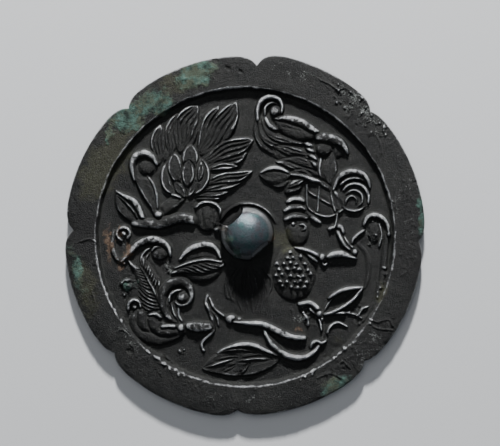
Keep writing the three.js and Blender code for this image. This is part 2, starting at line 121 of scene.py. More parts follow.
def smooth_line(places: Iterable[Place], per_span: int = 8) -> Array:
    """Return points along a smooth curve through the places.

    Args:
        places: The places that the curve passes through.
        per_span: How many points there are from one place to the next.

    Returns:
        The points as rows of two numbers.
    """
    points = np.array(list(places), dtype=float)
    padded = np.vstack([2 * points[0] - points[1], points, 2 * points[-1] - points[-2]])
    share = np.arange(per_span)[:, None] / per_span
    runs = []
    for before, here, there, after in zip(padded[:-3], padded[1:-2], padded[2:-1], padded[3:]):
        slope = there - before
        bend = 2 * before - 5 * here + 4 * there - after
        twist = 3 * here - before - 3 * there + after
        runs.append(0.5 * (2 * here + slope * share + bend * share**2 + twist * share**3))
    return np.vstack([*runs, points[-1:]])


@dataclass(frozen=True)
class Route:
    """How far each point is from a curve, on which side and how far along it."""

    gap: Array
    side: Array
    along: Array


def follow(places: Iterable[Place], x: Array, y: Array) -> Route:
    """Measure points against a smooth curve.

    Args:
        places: The places that the curve passes through.
        x: The points' X, in millimetres.
        y: The points' Y, in millimetres.

    Returns:
        The distance, the side (1 on the left) and the share of the curve's length.
    """
    line = smooth_line(places)
    steps = np.diff(line, axis=0)
    lengths = np.hypot(steps[:, 0], steps[:, 1])
    reached = np.concatenate([[0.0], np.cumsum(lengths)])
    best = np.full(x.shape, np.inf)
    side = np.ones(x.shape)
    along = np.zeros(x.shape)
    for start, step, length, before in zip(line[:-1], steps, lengths, reached):
        dx, dy = x - start[0], y - start[1]
        share = np.clip((dx * step[0] + dy * step[1]) / length**2, 0.0, 1.0)
        gap = (dx - share * step[0]) ** 2 + (dy - share * step[1]) ** 2
        closer = gap < best
        best = np.where(closer, gap, best)
        side = np.where(closer, np.where(dy * step[0] > dx * step[1], 1.0, -1.0), side)
        along = np.where(closer, before + share * length, along)
    return Route(np.sqrt(best), side, along / reached[-1])


class Form(Protocol):
    """Anything that is pressed into the sheet."""

    def extent(self) -> tuple[Array, Array]:
        """Return the lowest and highest corner that the form reaches."""

    def press(self, ground: Array, x: Array, y: Array) -> Array:
        """Return the heights once the form lies on them."""


class Cut(Enum):
    """How the back of a stroke is cut."""

    ROLLED = "rolled"
    RIDGED = "ridged"
    HOLLOW = "hollow"
    FLUTED = "fluted"
    FEATHERED = "feathered"
    STRIPED = "striped"


# How deep the metal under the border of an upper form is pressed in, and how wide that line is
BORDER_SINK = 0.4
BORDER_WIDTH = 0.35


def overlay(ground: Array, height: Array, outside: Array) -> Array:
    """Lay a form over the ground, with a fine line along its border.

    Args:
        ground: The heights so far.
        height: The form's own heights, which are 0 outside it.
        outside: How far each place lies outside the form, in millimetres.

    Returns:
        The heights with the form on them.
    """
    sink = BORDER_SINK * np.exp(-((np.maximum(outside, 0.0) / BORDER_WIDTH) ** 2))
    return np.maximum(ground * (1.0 - sink), height)


@dataclass(frozen=True)
class Stroke:
    """A raised stem, petal or leaf along a smooth curve, with sizes in millimetres."""

    places: tuple[Place, ...]
    width: float
    rise: float = MIDDLE
    cut: Cut = Cut.ROLLED
    start: float = 0.8
    end: float = 0.7
    widest: float = 0.5
    fullness: float = 0.7
    lines: float = 4
    slant: float = 0.35
    cutting: float = 0.2
    dish: float = 0.3
    lip: float = 0.1
    lift: float = 0.0

    def extent(self) -> tuple[Array, Array]:
        """Return the lowest and highest corner that the stroke reaches."""
        line = smooth_line(self.places)
        margin = self.width / 2 + 3 * BORDER_WIDTH
        return line.min(axis=0) - margin, line.max(axis=0) + margin

    def press(self, ground: Array, x: Array, y: Array) -> Array:
        """Lay the stroke on the ground.

        Args:
            ground: The heights so far.
            x: The places' X, in millimetres.
            y: The places' Y, in millimetres.

        Returns:
            The heights once the stroke lies on them.
        """
        route = follow(self.places, x, y)
        along = np.clip(route.along, 1e-4, 1 - 1e-4)
        belly = np.sin(pi * along ** (np.log(0.5) / np.log(self.widest))) ** self.fullness
        ends = self.start + (self.end - self.start) * along
        share = np.maximum(belly + (1.0 - belly) * ends, 0.02)
        half = self.width / 2 * share
        signed = np.clip(route.side * route.gap / half, -1.0, 1.0)
        across = np.abs(signed)
        inset = (1.0 - across) * half
        shoulder = ease(0.0, 1.0, inset / np.minimum(0.9, 0.75 * half))
        crest = self.rise * (0.5 + 0.5 * share) * (1.0 + self.lift * (along - 0.5))
        height = crest * self.section(signed, across, inset, shoulder, along)
        return overlay(ground, np.where(route.gap < half, height, 0.0), route.gap - half)

    def section(self, signed: Array, across: Array, inset: Array, shoulder: Array, along: Array) -> Array:
        """Return the shape across the stroke, as a share of its height.

        Args:
            signed: Place across, from -1 on the right to 1 on the left.
            across: The same without its sign.
            inset: Distance in from the border, in millimetres.
            shoulder: The rise from 0 at the border to 1 inside it.
            along: Share of the stroke's length.

        Returns:
            The height of each place over that of the stroke's back.
        """
        round_back = np.clip(1.0 - across**2, 0.0, 1.0) ** 0.42
        lip = self.lip * np.exp(-(((inset - 0.7) / 0.4) ** 2))
        if self.cut is Cut.ROLLED:
            return round_back
        if self.cut is Cut.RIDGED:
            return shoulder * (0.4 + 0.6 * (1.0 - across))
        if self.cut is Cut.HOLLOW:
            return shoulder * (1.0 - self.dish * ease(0.4, 1.3, inset)) + lip
        if self.cut is Cut.STRIPED:
            stripe = np.cos(2 * pi * self.lines * (along - self.slant * signed))
            return round_back + self.cutting * stripe * shoulder
        if self.cut is Cut.FEATHERED:
            barb = np.cos(2 * pi * self.lines * (along - self.slant * across))
            rib = np.exp(-((across / 0.14) ** 2))
            hollow = 1.0 - self.dish * (1.0 - across**2)
            return shoulder * (hollow + 0.25 * rib + self.cutting * barb * (1.0 - rib))
        vein = 0.5 + 0.5 * np.cos(pi * self.lines * (signed + 1.0 + 0.12 * np.sin(9.0 * along)))
        body = shoulder * (0.78 + 0.22 * (1.0 - across**2)) * (1.0 - 0.5 * self.dish * (1.0 - across**2))
        return body - self.cutting * vein * ease(0.4, 0.9, inset) + lip


@dataclass(frozen=True)
class Oval:
    """An oval place on the drawing, with its reach each way in millimetres and its turn in degrees."""

    place: Place
    reach: float
    other: float
    turn: float = 0.0

    def distance(self, x: Array, y: Array) -> Array:
        """Return the distance from the middle, as a share of the reach."""
        turn = radians(self.turn)
        dx, dy = x - self.place[0], y - self.place[1]
        u = (dx * cos(turn) + dy * sin(turn)) / self.reach
        v = (dy * cos(turn) - dx * sin(turn)) / self.other
        return np.hypot(u, v)


@dataclass(frozen=True)
class Boss:
    """A round or oval swelling, with sizes in millimetres and the turn in degrees."""

    place: Place
    radius: float
    other: float = 0.0
    turn: float = 0.0
    rise: float = HIGH

    def extent(self) -> tuple[Array, Array]:
        """Return the lowest and highest corner that the boss reaches."""
        reach = max(self.radius, self.other) + 3 * BORDER_WIDTH
        return np.array(self.place) - reach, np.array(self.place) + reach

    def distance(self, x: Array, y: Array) -> Array:
        """Return the distance from the middle, as a share of the reach."""
        return Oval(self.place, self.radius, self.other or self.radius, self.turn).distance(x, y)

    def press(self, ground: Array, x: Array, y: Array) -> Array:
        """Lay the boss on the ground.

        Args:
            ground: The heights so far.
            x: The places' X, in millimetres.
            y: The places' Y, in millimetres.

        Returns:
            The heights once the boss lies on them.
        """
        out = self.distance(x, y)
        height = self.rise * np.clip(1.0 - out**2, 0.0, 1.0) ** 0.5
        return overlay(ground, height, (out - 1.0) * min(self.radius, self.other or self.radius))


@dataclass(frozen=True)
class Bead(Boss):
    """A small bump that adds its height to what it lies on."""

    rise: float = 0.6

    def press(self, ground: Array, x: Array, y: Array) -> Array:
        """Return the heights with the bump on them."""
        return ground + self.rise * np.clip(1.0 - self.distance(x, y) ** 2, 0.0, 1.0) ** 0.7


@dataclass(frozen=True)
class Line:
    """A thread where the lift is above zero, and a cut line where it is below."""

    places: tuple[Place, ...]
    lift: float
    width: float = 0.7

    def extent(self) -> tuple[Array, Array]:
        """Return the lowest and highest corner that the line reaches."""
        line = smooth_line(self.places)
        return line.min(axis=0) - 2 * self.width, line.max(axis=0) + 2 * self.width

    def press(self, ground: Array, x: Array, y: Array) -> Array:
        """Return the heights with the line on them."""
        route = follow(self.places, x, y)
        return ground + self.lift * np.exp(-((route.gap / (self.width / 2)) ** 2))


def leaf(base: Place, tip: Place, width: float, bow: float = 0.0, **others: object) -> Stroke:
    """Return a pointed leaf or petal.

    Args:
        base: Where the leaf starts.
        tip: Where it ends in a point.
        width: Its width at the middle.
        bow: How far its middle stands off the straight line, to the left.
        **others: Any other size of the stroke.

    Returns:
        The leaf as a stroke.
    """
    run = np.subtract(tip, base)
    aside = np.array([-run[1], run[0]]) / np.hypot(*run)
    middle = tuple(np.add(base, tip) / 2 + bow * aside)
    settings = {"cut": Cut.FLUTED, "start": 0.12, "end": 0.0} | others
    return Stroke((base, middle, tip), width, **settings)


def coil(middle: Place, start: float, sweep: float, near: float, far: float) -> tuple[Place, ...]:
    """Return the places of a curl.

    Args:
        middle: The middle of the curl.
        start: The angle of its first place, in degrees.
        sweep: How far it turns, in degrees.
        near: Its distance from the middle at the start.
        far: The same at the end.

    Returns:
        The places, each about 30 degrees after the last.
    """
    steps = int(np.ceil(abs(sweep) / 30.0))
    share = np.linspace(0.0, 1.0, steps + 1)
    turn = np.radians(start + sweep * share)
    radius = near + (far - near) * share
    return tuple(zip(middle[0] + radius * np.cos(turn), middle[1] + radius * np.sin(turn)))


class Ornament:
    """The plants on the back of the mirror, each a list of forms from the lowest to the highest."""

    def sprays(self) -> list[Form]:
        """Return every form of the relief in the order in which they lie on each other."""
        return [
            *self.great_flower(),
            *self.flower_heart(),
            *self.left_spray(),
            *self.knob_foot(),
            *self.frond(),
            *self.fan_bud(),
            *self.lower_left_scroll(),
            *self.rolled_leaf(),
            *self.knob_leaf(),
            *self.bottom_leaf(),
            *self.bottom_stems(),
            *self.seed_pod(),
            *self.right_twigs(),
            *self.almond_leaf(),
            *self.right_crozier(),
            *self.sheaf(),
            *self.upper_bud(),
            *self.eye_leaf(),
            *self.bell(),
            *self.netted_cup(),
            *self.volute(),
        ]

    def great_flower(self) -> list[Form]:
        """Return the outer petals of the great flower, from the left round to the right."""
        petals = (
            ([(-34.3, 29.0), (-35.0, 37.5), (-34.0, 44.4)], 6.4, 4),
            ([(-29.8, 32.5), (-29.4, 41.0), (-27.0, 48.9)], 6.6, 4),
            ([(-26.0, 34.0), (-24.6, 42.0), (-22.4, 47.5), (-18.9, 52.0)], 9.6, 5),
            ([(-18.5, 34.0), (-15.6, 42.0), (-13.6, 47.2), (-10.4, 51.8)], 6.0, 3),
            ([(-17.4, 33.0), (-11.5, 39.6), (-7.4, 46.4), (-3.5, 53.4)], 10.0, 5),
            ([(-15.2, 27.4), (-9.0, 29.6), (-3.5, 31.0), (0.8, 33.4)], 5.6, 3),
            ([(-15.8, 29.4), (-10.0, 33.2), (-4.0, 35.4), (3.4, 38.4)], 7.8, 4),
            ([(-15.2, 26.2), (-9.5, 27.6), (-2.6, 27.8)], 3.4, 2),
            ([(-19.6, 14.6), (-14.0, 14.7), (-9.6, 14.9)], 2.0, 1),
            ([(-19.0, 16.0), (-12.0, 16.5), (-6.6, 17.5)], 2.8, 2),
            ([(-17.6, 17.8), (-10.0, 19.2), (-1.4, 21.2)], 3.4, 2),
            ([(-16.2, 20.6), (-10.0, 22.8), (-3.0, 23.6), (3.0, 25.8)], 5.2, 3),
        )
        between = (
            ([(-31.6, 29.6), (-32.0, 35.6), (-31.0, 42.6)], 4.6, 3),
            ([(-22.6, 35.0), (-20.6, 42.6), (-16.4, 48.6)], 5.4, 3),
            ([(-16.6, 31.0), (-9.0, 34.6), (-5.6, 39.0)], 5.0, 3),
        )
        return [
            *(
                Stroke(tuple(places), width, LOW, Cut.FLUTED, 0.4, 0.1, lines=lines)
                for places, width, lines in between
            ),
        ] + [
            Stroke(
                tuple(places), width, MIDDLE, Cut.FLUTED, 0.25, 0.0, 0.55, 0.6, lines, cutting=0.42,
                lift=0.5, lip=0.22,
            )
            for places, width, lines in petals
        ]

    def flower_heart(self) -> list[Form]:
        """Return the closed lobes in the middle of the great flower and the stem below them."""
        lobe = {"cut": Cut.HOLLOW, "fullness": 0.5, "dish": 0.25, "lip": 0.18}
        return [
            Stroke(((-25.6, 15.6), (-30.4, 11.8), (-34.8, 8.4)), 5.2, 1.4, end=0.7),
            Boss((-24.0, 23.5), 8.0, 8.6, rise=1.5),
            leaf((-22.2, 25.0), (-21.8, 36.5), 7.2, rise=1.8, **lobe),
            Line(((-21.4, 33.6), (-21.2, 27.0)), 0.25),
            Stroke(
                ((-26.4, 15.8), (-31.0, 19.6), (-31.8, 25.6), (-29.6, 31.0)), 4.6, 1.8, Cut.HOLLOW, 0.3,
                0.2,
            ),
            leaf((-26.6, 21.0), (-28.3, 33.0), 6.4, 0.6, rise=2.0, **lobe),
            leaf((-21.4, 16.6), (-17.2, 30.6), 7.4, -1.8, rise=1.9, **lobe),
            leaf((-18.6, 21.8), (-17.6, 29.6), 3.4, -0.4, rise=2.0, **lobe),
            leaf((-23.0, 19.6), (-22.6, 29.9), 5.8, rise=2.2, **lobe),
            leaf((-22.6, 15.6), (-19.6, 21.6), 3.2, rise=1.5, **lobe),
            leaf((-24.0, 15.4), (-28.4, 21.6), 4.2, rise=1.6, **lobe),
            Stroke(((-29.2, 16.3), (-27.4, 15.9), (-25.8, 15.2)), 1.5, 2.0),
        ]

    def left_spray(self) -> list[Form]:
        """Return the crozier, the forked leaf, the bud by the knob and the stem that joins them."""
        return [
            Stroke(((-52.4, 1.5), (-53.2, -4.0), (-51.6, -8.6), (-48.4, -11.0)), 2.4, 1.1),
            Stroke(coil((-48.7, 0.7), 250, -300, 2.7, 2.4), 1.4, 1.4),
            Boss((-48.8, 0.6), 1.2, rise=1.0),
            Stroke(
                ((-35.4, 8.5), (-36.6, 13.0), (-39.6, 19.5), (-43.0, 26.0)), 7.0, 1.6, Cut.FLUTED, 0.5, 0.6,
                widest=0.65, lines=2, cutting=0.12,
            ),
            Boss((-40.4, 27.8), 5.0, 4.8, rise=1.2),
            Boss((-39.6, 27.2), 3.4, rise=1.7),
            Stroke(
                ((-44.4, 22.0), (-45.3, 27.6), (-43.9, 31.4), (-40.4, 32.9), (-37.0, 31.4), (-35.3, 28.4)),
                3.8, 2.1,
                start=0.2, end=0.3, widest=0.6,
            ),
            Stroke(((-39.2, 24.0), (-36.9, 20.8), (-35.5, 16.5), (-35.0, 10.6)), 1.1, 2.0, start=0.4),
            leaf((-41.4, 5.0), (-51.9, 17.6), 7.4, 1.0, rise=1.3, lines=2),
            Stroke(((-51.2, 16.2), (-47.0, 12.6), (-44.3, 9.3), (-42.4, 5.4)), 1.2, 1.8, start=0.2),
            Stroke(
                ((-51.9, 17.9), (-47.4, 15.2), (-43.8, 12.8), (-40.6, 6.2)), 3.2, 2.1, start=0.1,
                widest=0.6,
            ),
            Stroke(
                (
                    (-44.6, 4.8), (-39.6, 4.7), (-34.5, 4.7), (-30.4, 5.8), (-26.4, 6.9), (-22.6, 6.6),
                    (-19.2, 6.0),
                ),
                4.8, 2.2, start=0.5, end=0.8,
            ),
            Boss((-34.6, 8.4), 1.9, rise=2.4),
            Boss((-15.0, 7.6), 5.4, 6.2, rise=2.0),
            Line(((-17.4, 12.2), (-17.2, 8.0), (-16.4, 3.4)), -0.35, 0.9),
            Line(((-13.4, 11.8), (-13.0, 8.0), (-13.0, 3.2)), -0.35, 0.9),
            Stroke(
                ((-19.8, 11.2), (-17.0, 13.2), (-13.2, 13.1), (-10.6, 11.4), (-9.8, 8.2), (-10.3, 4.6)),
                1.6, 2.4,
                start=0.6, end=0.4,
            ),
        ]

    def rim_marks(self) -> list[Form]:
        """Return the dents, scratches and threads of crust on the rim and along its wall."""
        threads = (
            ([(-51.0, -38.5), (-50.0, -37.6), (-48.5, -37.9), (-47.4, -38.8)], 0.35),
            ([(-46.0, -43.6), (-44.8, -44.4), (-44.2, -46.2)], 0.35),
            ([(50.0, -35.0), (51.6, -36.6), (54.2, -37.4), (58.6, -37.8)], 0.3),
            ([(37.5, -52.0), (39.0, -50.2), (40.4, -51.4), (42.0, -53.0)], 0.35),
            ([(29.0, -57.0), (32.0, -55.6), (35.0, -55.2), (38.5, -57.0)], 0.3),
            ([(-66.0, -2.4), (-62.0, -1.4), (-59.4, -2.6)], 0.3),
            ([(49.4, -33.0), (53.0, -34.6), (57.4, -33.6), (59.2, -36.4)], 0.3),
            ([(30.0, 62.4), (34.4, 60.2), (38.6, 57.0)], 0.4),
            ([(36.6, 57.6), (40.0, 59.0), (44.0, 55.6), (46.0, 51.6)], 0.4),
            ([(54.6, 33.0), (53.6, 38.0), (50.4, 42.0)], 0.3),
            ([(-61.4, -22.0), (-60.0, -27.4), (-61.2, -31.0)], 0.3),
            ([(62.6, -16.0), (65.6, -13.4), (64.8, -9.0)], 0.25),
        )
        dents = (((-12.0, 70.4), 1.6), ((-6.8, 66.8), 1.4), ((-1.8, 65.6), 1.2), ((-46.2, -46.4), 1.5))
        return [
            *(Line(tuple(places), lift, 0.7) for places, lift in threads),
            *(Bead(place, radius, radius * 0.7, -30, rise=-0.4) for place, radius in dents),
        ]

    def knob_foot(self) -> list[Form]:
        """Return the thin raised line round the foot of the knob and the crust beside its mouth."""
        return [
            Stroke(coil(KNOB_PLACE, 176, -156, 11.7, 12.2), 1.5, 1.2, start=0.6, end=0.2),
            Stroke(((-12.0, 2.4), (-10.4, 2.6), (-9.0, 2.2)), 1.9, 1.9, start=0.6, end=0.6),
        ]

    def frond(self) -> list[Form]:
        """Return the feathered frond at the left and the hood over its head."""
        rib = ((-25.6, -35.4), (-30.0, -32.4), (-33.8, -27.8), (-36.6, -22.0), (-39.6, -16.4), (-42.6, -11.6))
        forms: list[Form] = [
            Stroke(
                ((-26.0, -35.5), (-34.6, -28.6), (-39.6, -19.0), (-40.6, -8.0)), 17.0, 0.6, start=0.2,
                end=0.5,
            ),
        ]
        line = smooth_line(rib)
        count = 14
        for number in range(count):
            share = number / (count - 1)
            step = int((0.24 + 0.70 * share) * (len(line) - 2))
            here = line[step]
            ahead = np.degrees(np.arctan2(*(line[step + 1] - here)[::-1]))
            left = (35.0 - 14.0 * share, 11.6 - 4.0 * share)
            right = (-31.0 + 4.0 * share, 8.8 - 1.6 * share)
            for lean, length in (left, right):
                way = np.radians(ahead + lean)
                tip = here + length * np.array([np.cos(way), np.sin(way)])
                forms.append(
                    leaf(tuple(here), tuple(tip), 1.15, np.sign(lean) * 0.8, rise=1.7, cut=Cut.ROLLED)
                )
        return forms + [
            Stroke(rib, 1.7, 1.8, Cut.FLUTED, 0.8, 0.3, lines=2, cutting=0.3),
            Stroke(((-28.2, -34.8), (-31.0, -31.0), (-32.8, -26.0)), 1.1, 1.6, end=0.2),
            Stroke(((-41.6, -12.0), (-41.6, -8.6), (-39.2, -5.6), (-36.8, -4.9)), 1.0, 1.2),
            Stroke(((-39.6, -12.0), (-39.6, -9.0), (-38.0, -6.8)), 0.9, 1.1),
            Boss((-34.3, -7.0), 3.6, 3.2, rise=1.9),
            Stroke(((-37.4, -6.2), (-35.9, -4.7), (-33.4, -4.6)), 1.0, 2.1),
            Stroke(
                ((-49.4, -10.4), (-46.6, -7.4), (-43.4, -3.8), (-40.0, -2.2), (-36.6, -1.7), (-33.2, -2.8),
                 (-30.8, -5.0), (-29.8, -8.4)),
                3.7, 2.1, start=0.3, end=0.2, widest=0.6,
            ),
        ]

    def fan_bud(self) -> list[Form]:
        """Return the striped shell under its double hood, left of and below the knob."""
        return [
            Boss((-17.4, -8.4), 8.2, 6.2, rise=1.2),
            Stroke(
                ((-26.2, -9.8), (-23.6, -6.6), (-19.6, -4.4), (-15.0, -3.8), (-11.6, -5.4), (-9.9, -9.0)),
                3.4, 2.2,
                start=0.2, end=0.3,
            ),
            Boss((-17.2, -14.4), 7.4, 4.4, 4, rise=1.6),
            Stroke(
                ((-29.6, -15.2), (-23.0, -13.2), (-16.4, -12.6), (-9.4, -11.6)), 6.4, 2.0, Cut.STRIPED,
                0.1, 0.4,
                widest=0.6, lines=7, slant=-0.3, cutting=0.2,
            ),
            Stroke(
                ((-28.4, -13.2), (-24.6, -11.7), (-20.4, -10.4), (-15.0, -9.7), (-9.6, -10.6)), 1.6, 2.2,
                start=0.3,
            ),
        ]

    def lower_left_scroll(self) -> list[Form]:
        """Return the scroll beside the frond, the twig and the small curls by the rim."""
        return [
            Stroke(((-29.4, -27.6), (-28.6, -31.0), (-26.6, -34.0)), 1.2, 1.4),
            Stroke(((-26.6, -28.8), (-26.6, -32.0), (-25.2, -34.4)), 1.2, 1.4),
            Stroke(
                ((-28.0, -35.0), (-31.8, -31.0), (-33.2, -26.2), (-32.6, -22.0), (-29.6, -19.3), (
                    -25.6, -18.5,
                ),
                 (-23.0, -20.2), (-21.9, -23.4), (-22.9, -26.4), (-25.6, -27.8), (-28.0, -26.8)),
                4.3, 2.0, start=0.4, end=0.2, widest=0.5,
            ),
            Stroke(((-30.4, -26.4), (-29.8, -23.6), (-26.8, -21.9), (-23.6, -22.6)), 1.4, 1.8),
            Boss((-25.0, -24.7), 2.5, rise=2.1),
            Stroke(
                ((-46.8, -29.6), (-46.5, -27.2), (-44.5, -25.8), (-42.4, -26.6), (-41.9, -28.6)), 1.7, 1.6,
            ),
            Boss((-44.3, -28.7), 1.3, rise=1.1),
            Boss((-47.0, -19.8), 2.9, 2.2, rise=1.1),
            Stroke(((-49.6, -19.0), (-47.4, -17.6), (-44.8, -18.4)), 1.0, 1.3),
            Boss((-48.3, -23.7), 0.9, rise=0.6),
            Stroke(
                ((-15.0, -24.2), (-15.6, -27.0), (-14.0, -30.6), (-12.9, -35.0), (-13.1, -38.5), (
                    -16.2, -41.6,
                ),
                 (-17.4, -43.8), (-16.6, -46.2)),
                1.9, 1.2,
            ),
            Stroke(((-14.2, -25.0), (-12.4, -29.0), (-9.4, -31.6), (-5.4, -33.8)), 1.4, 1.1),
            Stroke(((-13.6, -30.4), (-11.2, -33.0), (-10.6, -36.0)), 1.1, 1.0),
        ]

    def rolled_leaf(self) -> list[Form]:
        """Return the leaf of three rolls at the lower left and the stem that leaves it."""
        return [
            Stroke(
                ((-43.0, -31.6), (-43.0, -35.6), (-40.0, -39.0), (-34.6, -40.6), (-29.0, -39.8),
                 (-24.4, -38.0)), 7.4,
                1.5, start=0.5, end=0.3, widest=0.4,
            ),
            Stroke(((-41.4, -31.4), (-40.6, -35.0), (-38.0, -37.6)), 5.6, 1.9, start=0.7, end=0.5),
            Stroke(
                ((-36.8, -32.6), (-36.6, -35.2), (-34.2, -37.4), (-29.6, -38.2), (-26.0, -37.8)), 6.0, 2.0,
                start=0.8, end=0.3,
            ),
            Stroke(((-38.6, -31.8), (-36.0, -31.4), (-33.2, -33.0)), 2.2, 2.3, start=0.5, end=0.2),
            Stroke(((-33.4, -36.6), (-30.5, -36.2), (-27.0, -36.5)), 2.2, 2.4),
            Boss((-25.7, -36.9), 1.9, rise=2.2),
            Stroke(((-22.6, -36.4), (-19.0, -36.6), (-14.6, -36.6)), 4.6, 2.2, start=0.7, end=0.9),
        ]

    def knob_leaf(self) -> list[Form]:
        """Return the flame-like leaf under the knob, all of wavy hair-like blades."""
        forms: list[Form] = [
            Stroke(((1.4, -10.6), (1.6, -20.0), (1.8, -33.4)), 17.0, 0.3, start=0.3, end=0.2),
        ]
        blades = 15
        for number in range(blades):
            share = 2 * number / (blades - 1) - 1
            top, middle, foot = 1.2 + 4.6 * share, 1.2 + 8.6 * share, 1.6 + 6.0 * share
            sway = 0.9 * sin(2.6 * number)
            low = -31.5 + 6.0 * share**2 + 1.2 * sin(4.1 * number)
            places = ((top, -12.4), (middle - sway, -18.0), (middle + sway, -24.5), (foot, low))
            forms.append(Stroke(places, 1.5, 0.75, Cut.RIDGED, start=0.3, end=0.1))
        return forms

    def bottom_leaf(self) -> list[Form]:
        """Return the broad leaf at the foot, with its raised veins and rolled upper edge."""
        vein = {"cut": Cut.RIDGED, "start": 0.3, "end": 0.1}
        veins = (
            ([(10.4, -49.6), (4.0, -49.4), (-4.0, -50.6)], 1.5, 1.9),
            ([(-3.6, -49.2), (-9.5, -50.9), (-15.8, -53.1)], 1.6, 1.9),
            ([(1.8, -50.8), (0.4, -53.4), (-2.2, -56.0)], 1.3, 1.7),
            ([(4.4, -46.8), (-2.0, -45.7), (-10.4, -46.8)], 1.6, 1.9),
            ([(-3.0, -51.6), (-6.4, -53.6), (-10.0, -55.0)], 1.0, 1.4),
            ([(-1.4, -48.6), (-7.0, -48.8), (-12.4, -50.2)], 1.0, 1.5),
        )
        return [
            Stroke(
                ((14.0, -48.8), (6.0, -50.0), (-2.0, -50.6), (-10.0, -51.6), (-17.2, -53.6)), 12.4, 1.3,
                Cut.FLUTED, 0.1, 0.0, 0.48, 0.65, 5, cutting=0.14,
            ),
            Stroke(
                ((-11.4, -47.2), (-6.4, -45.2), (-1.0, -43.8), (4.0, -44.2), (8.0, -46.0), (14.4, -48.5)),
                3.0, 2.0,
                start=0.1, end=0.3, widest=0.45,
            ),
            *(Stroke(tuple(places), width, rise, **vein) for places, width, rise in veins),
        ]

    def bottom_stems(self) -> list[Form]:
        """Return the two swinging stems at the foot and the small curl between them."""
        return [
            Stroke(((8.8, -38.3), (12.0, -42.6), (15.4, -45.8)), 0.9, 1.3),
            Stroke(
                ((7.2, -37.0), (9.4, -41.4), (12.8, -45.6), (17.6, -48.3), (22.4, -49.0), (26.4, -47.6),
                 (29.2, -44.8), (31.0, -41.6)),
                3.1, 2.0, start=0.3, end=0.2,
            ),
            Boss((-5.6, -33.4), 2.6, 2.0, rise=1.7),
            Boss((-2.4, -34.2), 1.6, rise=1.7),
            Stroke(
                (
                    (-4.4, -34.6), (1.0, -35.1), (6.4, -35.4), (11.0, -37.2), (15.4, -39.3),
                    (20.0, -40.8), (23.6, -41.0),
                ),
                3.3, 2.2, start=0.4, end=0.7, widest=0.62,
            ),
            Stroke(((26.4, -44.8), (27.2, -42.9), (29.0, -42.4), (30.6, -43.2), (32.4, -42.4)), 1.5, 1.7),
        ]

    def seed_pod(self) -> list[Form]:
        """Return the pod, its honeycomb of threads and its seeds."""
        middle = (19.5, -15.5)
        forms: list[Form] = [Boss(middle, 8.8, 10.8, rise=1.8)]
        scatter = np.random.default_rng(11)
        pitch = 2.75
        for row in range(-3, 4):
            for column in range(-4, 5):
                jitter = scatter.uniform(-0.5, 0.5, 2)
                dx = (column + 0.5 * (row % 2)) * pitch + jitter[0]
                dy = 2.2 + row * pitch * 0.87 + jitter[1]
                if np.hypot(dx / 8.8, dy / 10.8) > 0.9:
                    continue
                seed = (middle[0] + dx, middle[1] + dy)
                for turn in (90.0, 210.0, 330.0):
                    corner = coil(seed, turn, 0.01, pitch * 0.55, pitch * 0.55)[0]
                    forms.append(Line((seed, corner), 0.32, 0.6))
                size = scatter.uniform(0.9, 1.3)
                forms.append(Bead(seed, size, 0.8 * size, rise=scatter.uniform(0.35, 0.75)))
        return forms

    def right_twigs(self) -> list[Form]:
        """Return the leaves and twigs beside the pod and above it."""
        return [
            Stroke(((20.0, -4.8), (24.6, -5.9), (29.4, -8.0), (31.0, -9.0)), 2.0, 2.3, start=0.4),
            Stroke(((24.0, -7.0), (27.0, -9.0), (28.8, -10.4)), 1.5, 2.0, start=0.3),
            Boss((31.0, -8.8), 1.6, rise=2.2),
            Stroke(coil((32.0, -10.9), 60, 300, 0.9, 0.9), 0.8, 1.4),
            Stroke(
                ((32.6, -8.8), (36.0, -7.5), (40.4, -7.6), (45.0, -9.5)), 3.4, 2.2, start=0.3, end=0.0,
                widest=0.4,
            ),
            Stroke(((34.0, 2.6), (36.4, 3.8), (38.6, 3.2), (39.4, 1.0)), 2.0, 1.7),
            Stroke(((37.2, 1.4), (39.2, -2.4), (41.4, -5.0), (44.0, -7.0)), 2.2, 1.8, end=0.9),
            Stroke(((39.8, -0.4), (41.6, -3.4), (44.8, -5.8)), 1.1, 1.7),
            Boss((43.8, -6.6), 1.5, rise=2.0),
            Stroke(((47.6, 2.0), (45.4, 0.5), (43.4, -1.4), (42.8, -3.2)), 1.5, 1.3),
            Stroke(((45.6, -3.6), (48.4, -7.0), (49.6, -11.5), (49.4, -16.5), (48.0, -21.0)), 2.0, 0.5),
            Stroke(
                ((22.0, -27.4), (25.6, -26.9), (28.2, -28.4), (30.0, -31.2), (30.4, -34.2)), 2.4, 2.0,
                end=0.8,
            ),
            Stroke(((25.6, -29.0), (28.4, -31.8), (30.0, -34.6), (30.6, -38.0)), 1.2, 1.4),
            Stroke(((23.4, -31.0), (25.0, -33.4), (25.4, -36.0)), 1.2, 1.2),
            Boss((29.7, -31.4), 1.6, rise=2.0),
        ]

    def almond_leaf(self) -> list[Form]:
        """Return the hollow leaf at the right, the disc below it and the ring over the disc."""
        return [
            leaf((31.6, -31.6), (47.6, -20.4), 7.2, 0.7, rise=1.7, cut=Cut.HOLLOW, dish=0.95, fullness=0.6),
            Stroke(((31.8, -31.8), (36.5, -31.0), (41.2, -31.0)), 1.6, 1.8, end=0.4),
            Stroke(
                ((31.8, -31.6), (35.4, -30.6), (39.6, -28.4), (43.6, -25.4), (47.0, -21.2)), 1.6, 2.0,
                start=0.6,
            ),
            Stroke(
                ((33.4, -25.2), (36.8, -22.9), (41.0, -21.4), (47.2, -20.8)), 2.0, 2.3, start=0.3, end=0.3,
            ),
            Boss((37.4, -39.8), 4.9, rise=0.4),
            Stroke(((33.0, -39.0), (34.4, -36.2), (37.4, -34.9), (40.8, -36.4)), 1.3, 1.3),
            Stroke(((41.0, -31.2), (44.0, -31.6), (47.0, -33.2)), 1.1, 0.9),
            Stroke(((45.6, -31.8), (47.0, -29.4), (49.4, -28.4)), 1.0, 0.9),
        ]

